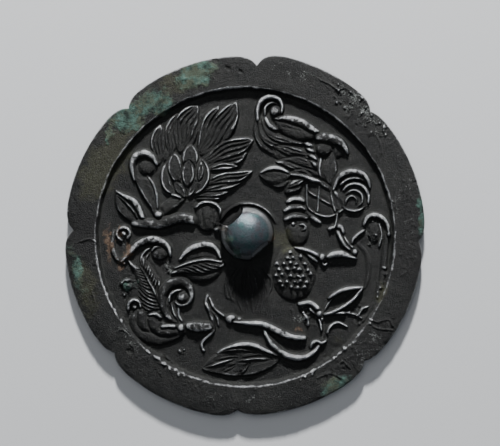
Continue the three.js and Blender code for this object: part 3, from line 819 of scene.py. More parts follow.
    def right_crozier(self) -> list[Form]:
        """Return the crozier that runs up beside the rim at the right."""
        return [
            Stroke(
                (
                    (47.2, -34.6), (50.4, -30.6), (53.0, -25.0), (54.8, -18.0), (55.8, -11.0),
                    (56.4, -4.0), (57.0, 1.4),
                ),
                2.8, 0.8, start=0.4, end=0.8,
            ),
            Boss((51.8, 1.6), 2.7, 4.6, rise=1.3),
            Stroke(((53.8, 4.6), (54.8, 0.4), (53.8, -4.2)), 1.3, 1.3),
            Stroke(
                ((57.6, 0.4), (57.3, 3.8), (55.2, 6.9), (52.0, 8.2), (49.0, 7.2), (47.7, 4.4)), 2.6, 1.7,
                end=0.5,
            ),
        ]

    def sheaf(self) -> list[Form]:
        """Return the crozier at the top and the sheaf of narrow leaves that hangs from it."""
        strands = (
            ([(4.9, 48.0), (4.8, 42.0), (6.4, 37.6), (9.8, 33.8), (12.4, 33.0)], 2.8, 1.4),
            ([(5.6, 46.6), (6.6, 41.0), (9.8, 37.6), (15.6, 35.9), (23.6, 34.5)], 3.0, 1.9),
            ([(6.8, 47.0), (8.2, 42.8), (11.4, 39.8), (17.0, 38.0), (24.8, 36.7)], 2.8, 2.0),
            ([(8.0, 47.6), (9.8, 44.2), (13.8, 42.2)], 1.8, 1.9),
            ([(27.6, 31.2), (21.3, 32.9), (15.6, 34.6), (11.0, 35.3)], 3.8, 1.9),
            ([(29.6, 24.2), (22.4, 27.2), (17.4, 28.9), (12.4, 29.4)], 3.6, 1.8),
            ([(29.6, 26.6), (24.4, 29.0), (19.6, 30.4), (15.4, 30.4)], 2.8, 1.9),
            ([(27.4, 22.7), (23.0, 24.9), (17.8, 25.2)], 2.6, 1.8),
            ([(26.4, 22.0), (22.8, 23.4), (19.0, 23.6)], 1.6, 1.6),
            ([(23.8, 37.0), (25.6, 36.2), (27.4, 34.6)], 1.6, 2.0),
            ([(24.4, 34.9), (26.2, 34.2), (28.2, 32.4)], 1.6, 2.0),
            ([(25.0, 32.6), (27.0, 31.6), (29.2, 29.4)], 1.6, 2.0),
            ([(26.0, 30.0), (27.8, 28.8), (29.6, 26.4)], 1.5, 1.9),
            ([(30.4, 31.0), (30.0, 26.6), (30.8, 22.2)], 1.3, 1.9),
            ([(31.8, 30.4), (31.6, 26.2), (31.8, 21.8)], 1.1, 1.8),
        )
        return [
            Stroke(
                ((6.5, 46.0), (8.5, 40.0), (14.0, 35.6), (22.0, 31.0), (29.0, 27.0)), 9.6, 0.9, start=0.3,
                end=0.4,
            ),
            *(
                Stroke(
                    tuple(places), width + 0.9, rise - 0.2, Cut.FLUTED if width > 2.5 else Cut.ROLLED,
                    0.3, 0.05,
                    lines=3, cutting=0.3,
                )
                for places, width, rise in strands
            ),
            Boss((12.3, 49.9), 2.5, rise=2.0),
            Stroke(((7.9, 48.4), (8.3, 51.6), (10.8, 53.3), (13.4, 52.4)), 1.1, 1.6),
            Stroke(
                ((5.0, 46.4), (5.1, 51.0), (6.9, 54.3), (10.2, 55.6), (13.4, 54.6), (14.9, 51.8),
                 (14.6, 49.2)), 2.3,
                2.1, start=0.6, end=0.5,
            ),
        ]

    def upper_bud(self) -> list[Form]:
        """Return the spindle bud at the upper right, its hood and the feathered leaf below."""
        return [
            leaf((12.0, 46.7), (30.6, 40.2), 9.4, -0.8, rise=1.9, cut=Cut.ROLLED, widest=0.46),
            Line(((15.4, 43.6), (20.0, 42.4), (26.0, 41.4)), -0.35, 1.1),
            Stroke(
                ((12.2, 46.8), (17.0, 46.7), (22.0, 45.4), (26.4, 43.0), (30.4, 40.2)), 3.9, 2.3,
                start=0.3, end=0.4,
            ),
            Boss((34.8, 36.0), 6.4, 4.8, -20, rise=1.2),
            Boss((31.8, 35.0), 3.6, rise=1.9),
            Stroke(
                ((29.4, 39.4), (33.0, 38.9), (36.6, 38.0), (39.4, 35.8), (41.4, 32.6)), 4.7, 2.3,
                start=0.7, end=0.1, widest=0.35,
            ),
            Stroke(
                ((34.4, 19.4), (34.2, 26.0), (34.9, 33.4)), 6.2, 1.7, Cut.FEATHERED, 0.3, 0.0, lines=8,
                slant=0.5,
                cutting=0.32,
            ),
        ]

    def eye_leaf(self) -> list[Form]:
        """Return the almond-shaped leaf right of the great flower and the stem below it."""
        return [
            leaf((19.4, 21.4), (9.4, 20.8), 3.8, 0.4, rise=1.2, cut=Cut.ROLLED),
            leaf((18.4, 24.2), (5.6, 24.4), 8.2, rise=1.6, cut=Cut.ROLLED),
            Line(((7.6, 24.0), (11.4, 23.4), (15.4, 24.0)), -0.3, 1.1),
            Stroke(((6.0, 25.0), (9.6, 26.6), (13.4, 26.9), (18.2, 24.9)), 2.4, 2.0, start=0.2, end=0.2),
            Boss((19.4, 18.9), 4.0, 2.2, 24, rise=1.4),
            leaf((24.0, 22.3), (16.4, 18.8), 3.4, -0.4, rise=1.9, lines=2),
            Stroke(
                ((18.2, 24.5), (23.0, 23.9), (27.0, 22.4), (31.4, 20.2), (35.4, 17.6), (38.2, 14.6),
                 (40.0, 11.4)), 2.5,
                2.1, start=0.3, end=0.4,
            ),
            Stroke(((34.8, 18.4), (36.4, 21.6), (38.2, 24.0)), 1.3, 1.5),
        ]

    def bell(self) -> list[Form]:
        """Return the bell of three tiers right of the knob, over a drop."""
        tiers = (
            ([(16.2, 6.4), (18.6, 7.5), (21.4, 7.8), (24.8, 7.0)], 3.4),
            ([(16.0, 9.9), (18.4, 11.1), (21.4, 11.4), (24.4, 10.4)], 3.2),
            ([(17.0, 13.4), (19.0, 14.4), (21.6, 14.4), (24.2, 13.6)], 3.0),
        )
        return [
            Boss((20.4, 7.5), 5.2, 8.6, rise=1.2),
            Stroke(((24.6, 9.4), (27.6, 7.0), (30.6, 5.0)), 2.6, 1.2, end=0.2),
            Boss((21.2, 1.6), 4.6, 5.8, rise=1.6),
            *(Stroke(tuple(places), width, 1.8, start=0.5, end=0.4) for places, width in tiers),
            Boss((19.4, 4.6), 1.0, rise=1.9),
            Stroke(((21.8, 4.2), (23.4, 4.4), (24.2, 3.0), (22.8, 1.8)), 1.1, 2.0),
        ]

    def netted_cup(self) -> list[Form]:
        """Return the cup between the bell and the volute, with a net of threads over it."""
        threads = (
            ((24.8, 20.4), (24.8, 15.0), (25.2, 11.4), (28.0, 8.8)),
            ((25.6, 17.4), (30.0, 14.8), (34.6, 12.2), (37.0, 10.4)),
            ((29.8, 19.6), (29.4, 14.6), (29.0, 9.0)),
            ((34.4, 17.0), (35.3, 12.4), (36.6, 8.6)),
            ((28.0, 8.8), (32.0, 7.6), (35.3, 8.0), (39.6, 10.6)),
            ((37.0, 8.6), (36.4, 4.8), (35.2, 2.6)),
        )
        return [
            Boss((31.4, 14.4), 8.4, 6.0, -36, rise=0.9),
            *(Stroke(places, 1.3, 1.7, Cut.RIDGED, fullness=0.3) for places in threads),
        ]

    def volute(self) -> list[Form]:
        """Return the volute at the right, from its centre out."""
        curls = (
            ([(40.2, 12.2), (40.8, 14.6), (42.8, 15.9), (44.6, 14.6), (44.4, 12.6)], 1.4, 1.4),
            ([(40.4, 16.4), (42.4, 18.0), (45.0, 17.9), (46.8, 16.2), (46.9, 13.6), (45.4, 11.6)], 1.4, 1.5),
            ([(39.0, 11.6), (41.6, 10.2), (45.0, 10.0), (47.8, 11.4)], 1.3, 1.3),
            ([(39.4, 18.2), (41.4, 20.2), (44.6, 20.7), (47.6, 19.4), (49.4, 16.2), (49.5, 12.8)], 1.9, 1.7),
            ([(38.2, 20.2), (40.4, 22.2), (44.0, 23.2), (47.4, 22.3), (49.0, 20.6)], 1.9, 1.8),
        )
        return [
            Boss((43.8, 15.0), 6.2, 6.2, rise=0.6),
            *(Stroke(tuple(places), width, rise, start=0.4, end=0.3) for places, width, rise in curls),
            Stroke(
                (
                    (35.2, 18.0), (37.2, 22.8), (40.2, 24.9), (44.0, 25.5), (47.2, 24.5), (49.2, 22.2),
                    (50.2, 19.0),
                ),
                3.3, 2.1, start=0.2, end=0.2,
            ),
        ]


class Sheet:
    """A square raster of heights over the drawing, in millimetres."""

    def __init__(self, reach: float, pitch: float) -> None:
        """Make a level sheet.

        Args:
            reach: How far the sheet goes to each side of the middle.
            pitch: The distance between its points.
        """
        self.reach = reach
        self.count = int(round(2 * reach / pitch)) + 1
        self.pitch = 2 * reach / (self.count - 1)
        self.axis = np.linspace(-reach, reach, self.count)
        self.height = np.zeros((self.count, self.count))

    def grid(self) -> tuple[Array, Array]:
        """Return the X and the Y of every point."""
        return tuple(np.meshgrid(self.axis, self.axis))

    def press(self, form: Form) -> None:
        """Press one form into the sheet, in the window that it reaches.

        Args:
            form: The form to lay on the heights.
        """
        low, high = form.extent()
        first = np.floor((low + self.reach) / self.pitch).astype(int).clip(0, self.count - 2)
        last = np.ceil((high + self.reach) / self.pitch).astype(int).clip(first + 2, self.count)
        columns, rows = slice(first[0], last[0]), slice(first[1], last[1])
        x, y = np.meshgrid(self.axis[columns], self.axis[rows])
        self.height[rows, columns] = form.press(self.height[rows, columns], x, y)

    def blurred(self, values: Array, spread: float) -> Array:
        """Blur values by a bell curve, first up the sheet and then across it.

        Args:
            values: One value for each point.
            spread: The spread of the curve, in millimetres.

        Returns:
            The blurred values.
        """
        sigma = spread / self.pitch
        reach = int(np.ceil(3 * sigma))
        taps = np.exp(-0.5 * (np.arange(-reach, reach + 1) / sigma) ** 2)
        taps /= taps.sum()
        spectrum = np.fft.rfft(taps, self.count + 2 * reach)
        for axis, shape in ((0, (-1, 1)), (1, (1, -1))):
            pad = [(reach, reach) if number == axis else (0, 0) for number in (0, 1)]
            rows = np.fft.rfft(np.pad(values, pad, mode="edge"), axis=axis)
            soft = np.fft.irfft(rows * spectrum.reshape(shape), self.count + 2 * reach, axis=axis)
            values = np.take(soft, np.arange(2 * reach, 2 * reach + self.count), axis=axis)
        return values

    def noise(self, seed: int, spread: float) -> Array:
        """Return smooth noise of unit strength.

        Args:
            seed: The number that the noise starts from.
            spread: About how wide its lumps are, in millimetres.

        Returns:
            One value for each point.
        """
        rough = np.random.default_rng(seed).standard_normal((self.count, self.count))
        soft = self.blurred(rough, spread)
        return soft / soft.std()

    def sample(self, values: Array, x: Array, y: Array) -> Array:
        """Read values between the raster's points, in proportion to the four points around.

        Args:
            values: One value for each point of the raster.
            x: The places' X, in millimetres.
            y: The places' Y, in millimetres.

        Returns:
            The value at each place.
        """
        u = ((x + self.reach) / self.pitch).clip(0, self.count - 1.001)
        v = ((y + self.reach) / self.pitch).clip(0, self.count - 1.001)
        column, row = u.astype(int), v.astype(int)
        u, v = u - column, v - row
        low = values[row, column] * (1 - u) + values[row, column + 1] * u
        high = values[row + 1, column] * (1 - u) + values[row + 1, column + 1] * u
        return low * (1 - v) + high * v


def outline_radius(angle: Array) -> Array:
    """Return the distance of the lobed outline from the middle, in millimetres.

    Each lobe keeps its reach over most of its length and falls to the notch at either end.

    Args:
        angle: Directions in the drawing, in degrees.

    Returns:
        The distance in each direction.
    """
    turned = (angle - NOTCHES[0][0]) % 360.0 + NOTCHES[0][0]
    radius = np.zeros(np.shape(angle))
    for lobe, (start, near) in enumerate(NOTCHES):
        stop, far = NOTCHES[(lobe + 1) % len(NOTCHES)]
        stop += 360.0 if lobe + 1 == len(NOTCHES) else 0.0
        across = 2 * (turned - start) / (stop - start) - 1
        notch = np.where(across < 0, near, far)
        fall = (LOBE_REACH[lobe] - notch) * np.abs(np.clip(across, -1, 1)) ** LOBE_FULLNESS
        radius = np.where(np.abs(across) <= 1, LOBE_REACH[lobe] - fall, radius)
    return radius


def inset_from_edge(x: Array, y: Array) -> Array:
    """Return how far places on the drawing lie inside the outline, in millimetres."""
    return outline_radius(np.degrees(np.arctan2(y, x))) - np.hypot(x, y)


@dataclass(frozen=True)
class Crust(Oval):
    """A place where corrosion stands on the metal, with sizes in millimetres."""

    rise: float = 0.2
    grain: float = 0.6
    seed: int = 20

    def mask(self, x: Array, y: Array) -> Array:
        """Return 1 in the middle of the place and 0 outside it."""
        return 1.0 - ease(0.5, 1.0, self.distance(x, y))


CRUSTS = (
    Crust((-43.0, 49.0), 16.0, 7.5, 38.0, 0.12, 0.6, 21),
    Crust((-20.0, 64.0), 12.0, 6.0, 18.0, 0.12, 0.6, 22),
    Crust((-67.0, -14.6), 14.0, 4.0, 102.0, 0.10, 0.5, 23),
    Crust((65.0, 8.0), 34.0, 7.0, 90.0, 0.08, 0.4, 24),
    Crust((45.0, -46.0), 22.0, 9.0, 48.0, 0.09, 0.4, 25),
    Crust((-34.0, -49.0), 18.0, 2.6, -38.0, 0.22, 0.5, 26),
    Crust((-52.0, -27.0), 16.0, 2.2, -62.0, 0.16, 0.45, 37),
    Crust((32.0, -50.5), 18.0, 2.6, 35.0, 0.24, 0.5, 27),
    Crust((46.0, -32.0), 7.0, 5.0, -20.0, 0.26, 0.5, 28),
    Crust((-47.0, -20.0), 4.0, 3.6, 0.0, 0.30, 0.4, 29),
    Crust((-50.0, 2.0), 5.0, 5.0, 0.0, 0.22, 0.5, 30),
    Crust((-9.0, 2.6), 3.4, 3.0, -50.0, 0.26, 0.5, 31),
    Crust((-31.0, -13.0), 2.4, 4.0, 0.0, 0.24, 0.4, 32),
    Crust((-25.0, -47.0), 5.0, 2.4, -10.0, 0.22, 0.4, 33),
    Crust((24.0, -33.0), 8.0, 5.0, -20.0, 0.28, 0.5, 34),
    Crust((51.5, 1.0), 4.6, 8.0, 0.0, 0.22, 0.4, 35),
    Crust((46.0, 50.0), 21.0, 7.5, -42.0, 0.26, 0.4, 36),
    Crust((54.0, -20.0), 14.0, 2.4, 72.0, 0.20, 0.5, 38),
    Crust((-12.0, -30.0), 4.0, 6.0, 10.0, 0.16, 0.5, 39),
)


@dataclass(frozen=True)
class Fineness:
    """How finely the casting is made: pitch in millimetres, cells across the back, triangles."""

    pitch: float
    cells: int
    triangles: int

    @classmethod
    def for_this_run(cls) -> "Fineness":
        return cls(0.1, 640, 188_000)


@dataclass
class Casting:
    """The heights of the back of the mirror over the field, with sizes in millimetres."""

    pitch: float
    reach: float = 76.0
    softening: float = 0.2
    wide_view: float = 0.9
    near_view: float = 0.15
    # Shares by which the relief is uneven, the width of the lumps and the seed of each
    uneven_relief: tuple = ((0.016, 0.9, 4), (0.032, 0.35, 5))
    # How far the foot of the wall wanders, in the same order
    ragged_wall: tuple = ((0.08, 1.4, 7), (0.06, 0.5, 8))
    # How far the surface of the casting wanders, in the same order
    uneven_surface: tuple = ((0.05, 3.0, 1), (0.035, 0.8, 2))
    sheet: Sheet = field(init=False)
    step: Array = field(init=False)

    def __post_init__(self) -> None:
        """Press the relief, the rim, the knob and the marks of age into one sheet."""
        self.sheet = Sheet(self.reach, self.pitch)
        for form in Ornament().sprays():
            self.sheet.press(form)
        self.sheet.height = self.sheet.blurred(self.sheet.height, self.softening)
        self.sheet.height *= 1.0 + self.wander(self.uneven_relief)
        self.press_plate()
        self.weather()
        smooth = self.sheet.blurred(self.sheet.height, self.wide_view)
        self.step = self.sheet.blurred(self.sheet.height, self.near_view) - smooth

    def wander(self, layers: tuple) -> Array:
        """Return layers of noise added up, each with its strength, the width of its lumps and its seed."""
        return sum(strength * self.sheet.noise(seed, spread) for strength, spread, seed in layers)

    def press_plate(self) -> None:
        """Add the wall of the rim, the rim's fall to the outline and the knob's dome."""
        x, y = self.sheet.grid()
        out = np.hypot(x - PLATE_MIDDLE[0], y - PLATE_MIDDLE[1])
        ragged = out + self.wander(self.ragged_wall)
        wall = (RIM_HEIGHT - FIELD_HEIGHT) * ease(WALL_FOOT_RADIUS, RIM_INNER_RADIUS, ragged)
        self.sheet.height = np.maximum(self.sheet.height * (1 - ease(59.5, 61.5, out)), wall)
        self.sheet.height -= RIM_FALL * (1.0 - np.clip(inset_from_edge(x, y) / RIM_FALL_WIDTH, 0, 1)) ** 2
        aside = np.hypot(x - KNOB_PLACE[0], y - KNOB_PLACE[1]) / KNOB_RADIUS
        dome = KNOB_RISE * np.sqrt(1.0 - np.clip(aside, 0, 1) ** (2 / KNOB_FULLNESS))
        self.sheet.height = np.maximum(self.sheet.height, np.where(aside < 1, dome, 0.0))

    def weather(self) -> None:
        """Add the unevenness of the casting, its crumbs and pits, and the crust.

        Crumbs and pits are the highest and the lowest tops of smooth noise, cut off at a level.
        The knob is left smooth, and the rim is rougher than the field.
        """
        sheet = self.sheet
        x, y = sheet.grid()
        rim = ease(57.0, 60.5, np.hypot(x - PLATE_MIDDLE[0], y - PLATE_MIDDLE[1]))
        off_knob = np.hypot(x - KNOB_PLACE[0], y - KNOB_PLACE[1]) - KNOB_RADIUS
        flat = ease(-0.5, 0.5, off_knob)
        sheet.height += flat * self.wander(self.uneven_surface)
        sheet.height += (0.014 + 0.006 * rim) * flat * sheet.noise(6, 0.35)
        crumbs = np.clip(sheet.noise(9, 0.35) - 1.7, 0, 1.2) * np.clip(sheet.noise(10, 4.0) + 0.6, 0, 1.5)
        sheet.height += (0.14 + 0.06 * rim) * flat * crumbs
        pits = np.clip(sheet.noise(3, 0.45) - 2.0, 0, 1.5)
        sheet.height -= flat * (0.06 + 0.14 * rim) * pits
        for form in Ornament().rim_marks():
            sheet.press(form)
        for crust in CRUSTS:
            lumps = 1.5 * np.clip(sheet.noise(crust.seed, crust.grain) - 0.4, 0, 2.2)
            sheet.height += crust.rise * lumps * crust.mask(x, y)

    def top(self, x: Array, y: Array) -> Array:
        """Return the height of the back over the middle of the polished face."""
        return FIELD_HEIGHT + self.sheet.sample(self.sheet.height, x, y)


def on_frame(x: Array | float, y: Array | float) -> tuple[Array | float, Array | float]:
    """Return places of the drawing turned into the frame."""
    return x * cos(TURN) - y * sin(TURN), x * sin(TURN) + y * cos(TURN)


@dataclass(frozen=True)
class Tunnel:
    """The arched space through the knob, with sizes in millimetres."""

    width: float = 8.0
    height: float = 7.0
    mouth_width: float = 12.4
    mouth_height: float = 10.5
    reach: float = 10.9
    floor: float = FIELD_HEIGHT + 0.1
    # The arch stands on sides of this share of its height, and is this full
    side_share: float = 0.25
    fullness: float = 0.75
    foot_share: float = 0.92
    stations: int = 17
    steps: int = 25

    def build(self) -> bpy.types.Object:
        """Return the space as a closed solid that cuts the knob.

        An arch is carried along the tunnel's straight line, and it grows to both mouths with the
        square of the distance from the knob's middle.
        """
        station = np.linspace(-1.0, 1.0, self.stations)[:, None]
        sweep = np.linspace(0.0, pi, self.steps)
        flare = station**2
        half = (self.width + (self.mouth_width - self.width) * flare) / 2
        height = self.height + (self.mouth_height - self.height) * flare
        arch = half * np.sign(np.cos(sweep)) * np.abs(np.cos(sweep)) ** self.fullness
        top = self.floor + height * (self.side_share + (1.0 - self.side_share) * np.sin(sweep))
        across = np.hstack([arch, -half * self.foot_share, half * self.foot_share])
        up = np.hstack([top, np.full((self.stations, 2), self.floor)])
        x, y = on_frame(*KNOB_PLACE)
        points = np.dstack([x + station * self.reach + 0.0 * across, y + across, up]).reshape(-1, 3)
        grid = np.arange(len(points)).reshape(across.shape)
        after = np.roll(grid, -1, axis=1)
        sides = np.stack([grid[:-1], after[:-1], after[1:], grid[1:]], axis=-1).reshape(-1, 4)
        caps = [grid[0, ::-1].tolist(), grid[-1].tolist()]
        return mesh_object("tunnel", points * MM, [*sides.tolist(), *caps])


@dataclass(frozen=True)
class MirrorMesh:
    """Builds the closed mesh of the casting in the frame of the CAD model, with sizes in millimetres."""

    casting: Casting
    fineness: Fineness
    # Rings round the edge: how far in from the outline, and the height
    edge: tuple = (
        (0.32, RIM_HEIGHT - 0.68),
        (0.18, RIM_HEIGHT - 0.95),
        (0.14, RIM_HEIGHT - 1.5),
        (0.14, FACE_RISE + 1.0),
        (0.18, FACE_RISE + 0.45),
        (0.42, FACE_RISE + 0.10),
    )
    # Rings over the polished face: how far in from the outline
    face: tuple = (1.6, 4.0, 8.0, 14.0, 20.0, 26.0, 34.0, 42.0, 50.0, 58.0, 66.0)
    top_inset: float = 0.6
    # The share of the reach inside which the back's rings are true circles
    round_share: float = 0.86
    sharp_angle: float = radians(58.0)

    def build(self) -> bpy.types.Object:
        """Return the finished piece: the plate with the tunnel cut through the knob."""
        points, faces = self.closed_skin()
        x, y = on_frame(points[:, 0], points[:, 1])
        plate = mesh_object("mirror_casting", np.column_stack([x, y, points[:, 2]]) * MM, faces)
        cutter = Tunnel().build()
        count = sum(len(face) - 2 for face in faces)
        hole = plate.modifiers.new("tunnel", "BOOLEAN")
        hole.operation, hole.solver, hole.object = "DIFFERENCE", "MANIFOLD", cutter
        thin = plate.modifiers.new("fineness", "DECIMATE")
        thin.ratio = min(1.0, self.fineness.triangles / count)
        thin.use_collapse_triangulate = True
        graph = bpy.context.evaluated_depsgraph_get()
        finished = bpy.data.meshes.new_from_object(plate.evaluated_get(graph))
        for spare in (plate, cutter):
            data = spare.data
            bpy.data.objects.remove(spare)
            bpy.data.meshes.remove(data)
        finished.name = "mirror_casting"
        finished.materials.clear()
        piece = bpy.data.objects.new("mirror_casting", finished)
        bpy.context.scene.collection.objects.link(piece)
        finished.polygons.foreach_set("use_smooth", np.ones(len(finished.polygons), dtype=bool))
        finished.set_sharp_from_angle(angle=self.sharp_angle)
        self.record_wear(finished)
        return piece

    def closed_skin(self) -> tuple[Array, list]:
        """Build the closed skin.

        The back is a square grid drawn out into a disc: each square ring of the grid becomes a
        circle, and the circles near the edge take the shape of the lobed outline.

        Returns:
            The points, in millimetres of the drawing, and the faces.
        """
        cells = self.fineness.cells
        line = np.linspace(-1.0, 1.0, cells + 1)
        a, b = (axis.ravel() for axis in np.meshgrid(line, line))
        level = np.maximum(np.abs(a), np.abs(b))
        flat = np.abs(a) >= np.abs(b)
        small = np.where(flat, b, a) / np.where(level == 0, 1.0, np.where(flat, a, b))
        turn = np.where(flat, pi / 4 * small, pi / 2 - pi / 4 * small)
        turn = np.where(np.where(flat, a, b) < 0, turn + pi, turn)
        edge = outline_radius(np.degrees(turn)) - self.top_inset
        even = min(LOBE_REACH) - self.top_inset
        reach = level * (even + (edge - even) * ease(self.round_share, 1.0, level))
        x, y = reach * np.cos(turn), reach * np.sin(turn)
        z = self.casting.top(x, y)
        grid = np.arange((cells + 1) ** 2).reshape(cells + 1, cells + 1)
        corners = [grid[:-1, :-1], grid[:-1, 1:], grid[1:, 1:], grid[1:, :-1]]
        quads = np.stack(corners, axis=-1).reshape(-1, 4)
        border = np.concatenate([grid[0, :-1], grid[:-1, -1], grid[-1, :0:-1], grid[:0:-1, 0]])
        return self.with_underside(np.column_stack([x, y, z]), quads, border)

    def with_underside(self, points: Array, quads: Array, border: Array) -> tuple[Array, list]:
        """Close the back's grid with the edge and the polished face.

        Each ring has a point under each point of the border, and a fan closes the last ring.

        Args:
            points: The grid's points.
            quads: The grid's faces.
            border: The numbers of the points round its border, anticlockwise.

        Returns:
            All points and all faces.
        """
        turn = np.arctan2(points[border, 1], points[border, 0])
        outline = outline_radius(np.degrees(turn))
        rings = [(outline - inset, np.full_like(outline, z)) for inset, z in self.edge]
        for inset in self.face:
            radius = outline - inset
            rise = FACE_RISE * ease(0.0, 1.0, (radius - FACE_FLAT_RADIUS) / FACE_CURVE_WIDTH)
            rings.append((radius, rise))
        layers = [points]
        faces = [quads]
        before = border
        total = len(points)
        for radius, z in rings:
            layers.append(np.column_stack([radius * np.cos(turn), radius * np.sin(turn), z]))
            ring = np.arange(total, total + len(border))
            faces.append(np.stack([before, ring, np.roll(ring, -1), np.roll(before, -1)], axis=-1))
            before = ring
            total += len(border)
        layers.append(np.zeros((1, 3)))
        fan = np.stack([before, np.full_like(before, total), np.roll(before, -1)], axis=-1)
        return np.vstack(layers), [*np.vstack(faces).tolist(), *fan.tolist()]

    def record_wear(self, mesh: bpy.types.Mesh) -> None:
        """Store on each point how far it stands out or lies in a hollow, for the material.

        Args:
            mesh: The finished mesh, in metres of the frame.
        """
        places = np.empty(3 * len(mesh.vertices))
        mesh.vertices.foreach_get("co", places)
        x, y, z = places.reshape(-1, 3).T / MM
        u, v = x * cos(TURN) + y * sin(TURN), y * cos(TURN) - x * sin(TURN)
        step = self.casting.sheet.sample(self.casting.step, u, v)
        on_back = z > FIELD_HEIGHT - 0.4
        edge = (1.0 - ease(0.3, 1.3, inset_from_edge(u, v))) * (z > RIM_HEIGHT - 1.2)
        for name, value in (
            ("wear", np.clip(step / 0.45 + 0.8 * edge, 0, 1)),
            ("hollow", np.clip(-step / 0.4, 0, 1)),
        ):
            layer = mesh.attributes.new(name, "FLOAT", "POINT")
            layer.data.foreach_set("value", np.where(on_back, value, 0.0).astype(np.float32))


def mesh_object(name: str, points: Array, faces: list) -> bpy.types.Object:
    """Make a new object and link it into the scene.

    Args:
        name: The name of the object and its mesh.
        points: One row of three numbers for each point, in metres.
        faces: The point numbers of each face, anticlockwise from outside.

    Returns:
        The object.
    """
    mesh = bpy.data.meshes.new(name)
    mesh.from_pydata(points.tolist(), [], faces)
    mesh.validate()
    made = bpy.data.objects.new(name, mesh)
    bpy.context.scene.collection.objects.link(made)
    return made


class Graph:
    """Adds nodes to a tree and joins them in short calls."""

    def __init__(self, tree: bpy.types.NodeTree) -> None:
        """Keep the tree that the nodes go into."""
        self.tree = tree

    def add(self, kind: str, **settings: object) -> bpy.types.Node:
        """Return a new node.

        Args:
            kind: The node's type.
            **settings: Properties of the node and their values.

        Returns:
            The node with its settings made.
        """
        node = self.tree.nodes.new(kind)
        for name, value in settings.items():
            setattr(node, name, value)
        return node

    def put(self, socket: bpy.types.NodeSocket, value: object) -> None:
        """Join a socket to another one, or give it a number or a colour.

        Args:
            socket: The input.
            value: An output to join it to, or its own value.
        """
        if isinstance(value, bpy.types.NodeSocket):
            self.tree.links.new(value, socket)
        elif isinstance(value, tuple) and len(value) == 3 and socket.type == "RGBA":
            socket.default_value = (*value, 1.0)
        else:
            socket.default_value = value

    def fed(self, kind: str, inputs: dict, **settings: object) -> bpy.types.Node:
        """Return a new node with its inputs joined or set.

        Args:
            kind: The node's type.
            inputs: The value or output for each input, by its name or number.
            **settings: Properties of the node and their values.

        Returns:
            The node.
        """
        node = self.add(kind, **settings)
        for name, value in inputs.items():
            self.put(node.inputs[name], value)
        return node

    def math(self, operation: str, first: object, second: object, clamp: bool = False) -> object:
        """Return the result of one sum."""
        node = self.fed("ShaderNodeMath", {0: first, 1: second}, operation=operation, use_clamp=clamp)
        return node.outputs[0]

    def times(self, first: object, second: object) -> object:
        """Return two values multiplied."""
        return self.math("MULTIPLY", first, second)

    def plus(self, first: object, second: object) -> object:
        """Return two values added."""
        return self.math("ADD", first, second)

    def most(self, first: object, *others: object) -> object:
        """Return the highest of some values."""
        for other in others:
            first = self.math("MAXIMUM", first, other)
        return first

    def noise(self, vector: object, scale: float, detail: float = 4.0, roughness: float = 0.55) -> object:
        """Return smooth noise from 0 to 1."""
        inputs = {"Vector": vector, "Scale": scale, "Detail": detail, "Roughness": roughness}
        return self.fed("ShaderNodeTexNoise", inputs).outputs["Fac"]

    def span(
        self, value: object, low: float, high: float, to_low: float = 0.0, to_high: float = 1.0
    ) -> object:
        """Return a smooth step of value, from to_low at low to to_high at high."""
        inputs = {"Value": value, "From Min": low, "From Max": high, "To Min": to_low, "To Max": to_high}
        return self.fed("ShaderNodeMapRange", inputs, interpolation_type="SMOOTHSTEP").outputs["Result"]

    def blend(self, share: object, first: object, second: object, kind: str = "RGBA") -> object:
        """Return a colour between two."""
        inputs = {"Factor": share, "A": first, "B": second}
        return self.fed("ShaderNodeMix", inputs, data_type=kind).outputs["Result"]

    def mix(self, share: object, first: object, second: object) -> object:
        """Return a number between two."""
        return self.blend(share, first, second, "FLOAT")


def node_group(name: str, inputs: dict[str, str], outputs: dict[str, str]) -> bpy.types.NodeTree:
    """Make an empty node group with its sockets.

    Args:
        name: The group's name.
        inputs: The type of each input by its name.
        outputs: The type of each output by its name.

    Returns:
        The group.
    """
    group = bpy.data.node_groups.new(name, "ShaderNodeTree")
    for side, sockets in (("INPUT", inputs), ("OUTPUT", outputs)):
        for label, kind in sockets.items():
            group.interface.new_socket(label, in_out=side, socket_type=kind)
    return group


@dataclass(frozen=True)
class Patch(Oval):
    """A place on the back where a patina shows."""

    strength: float = 1.0


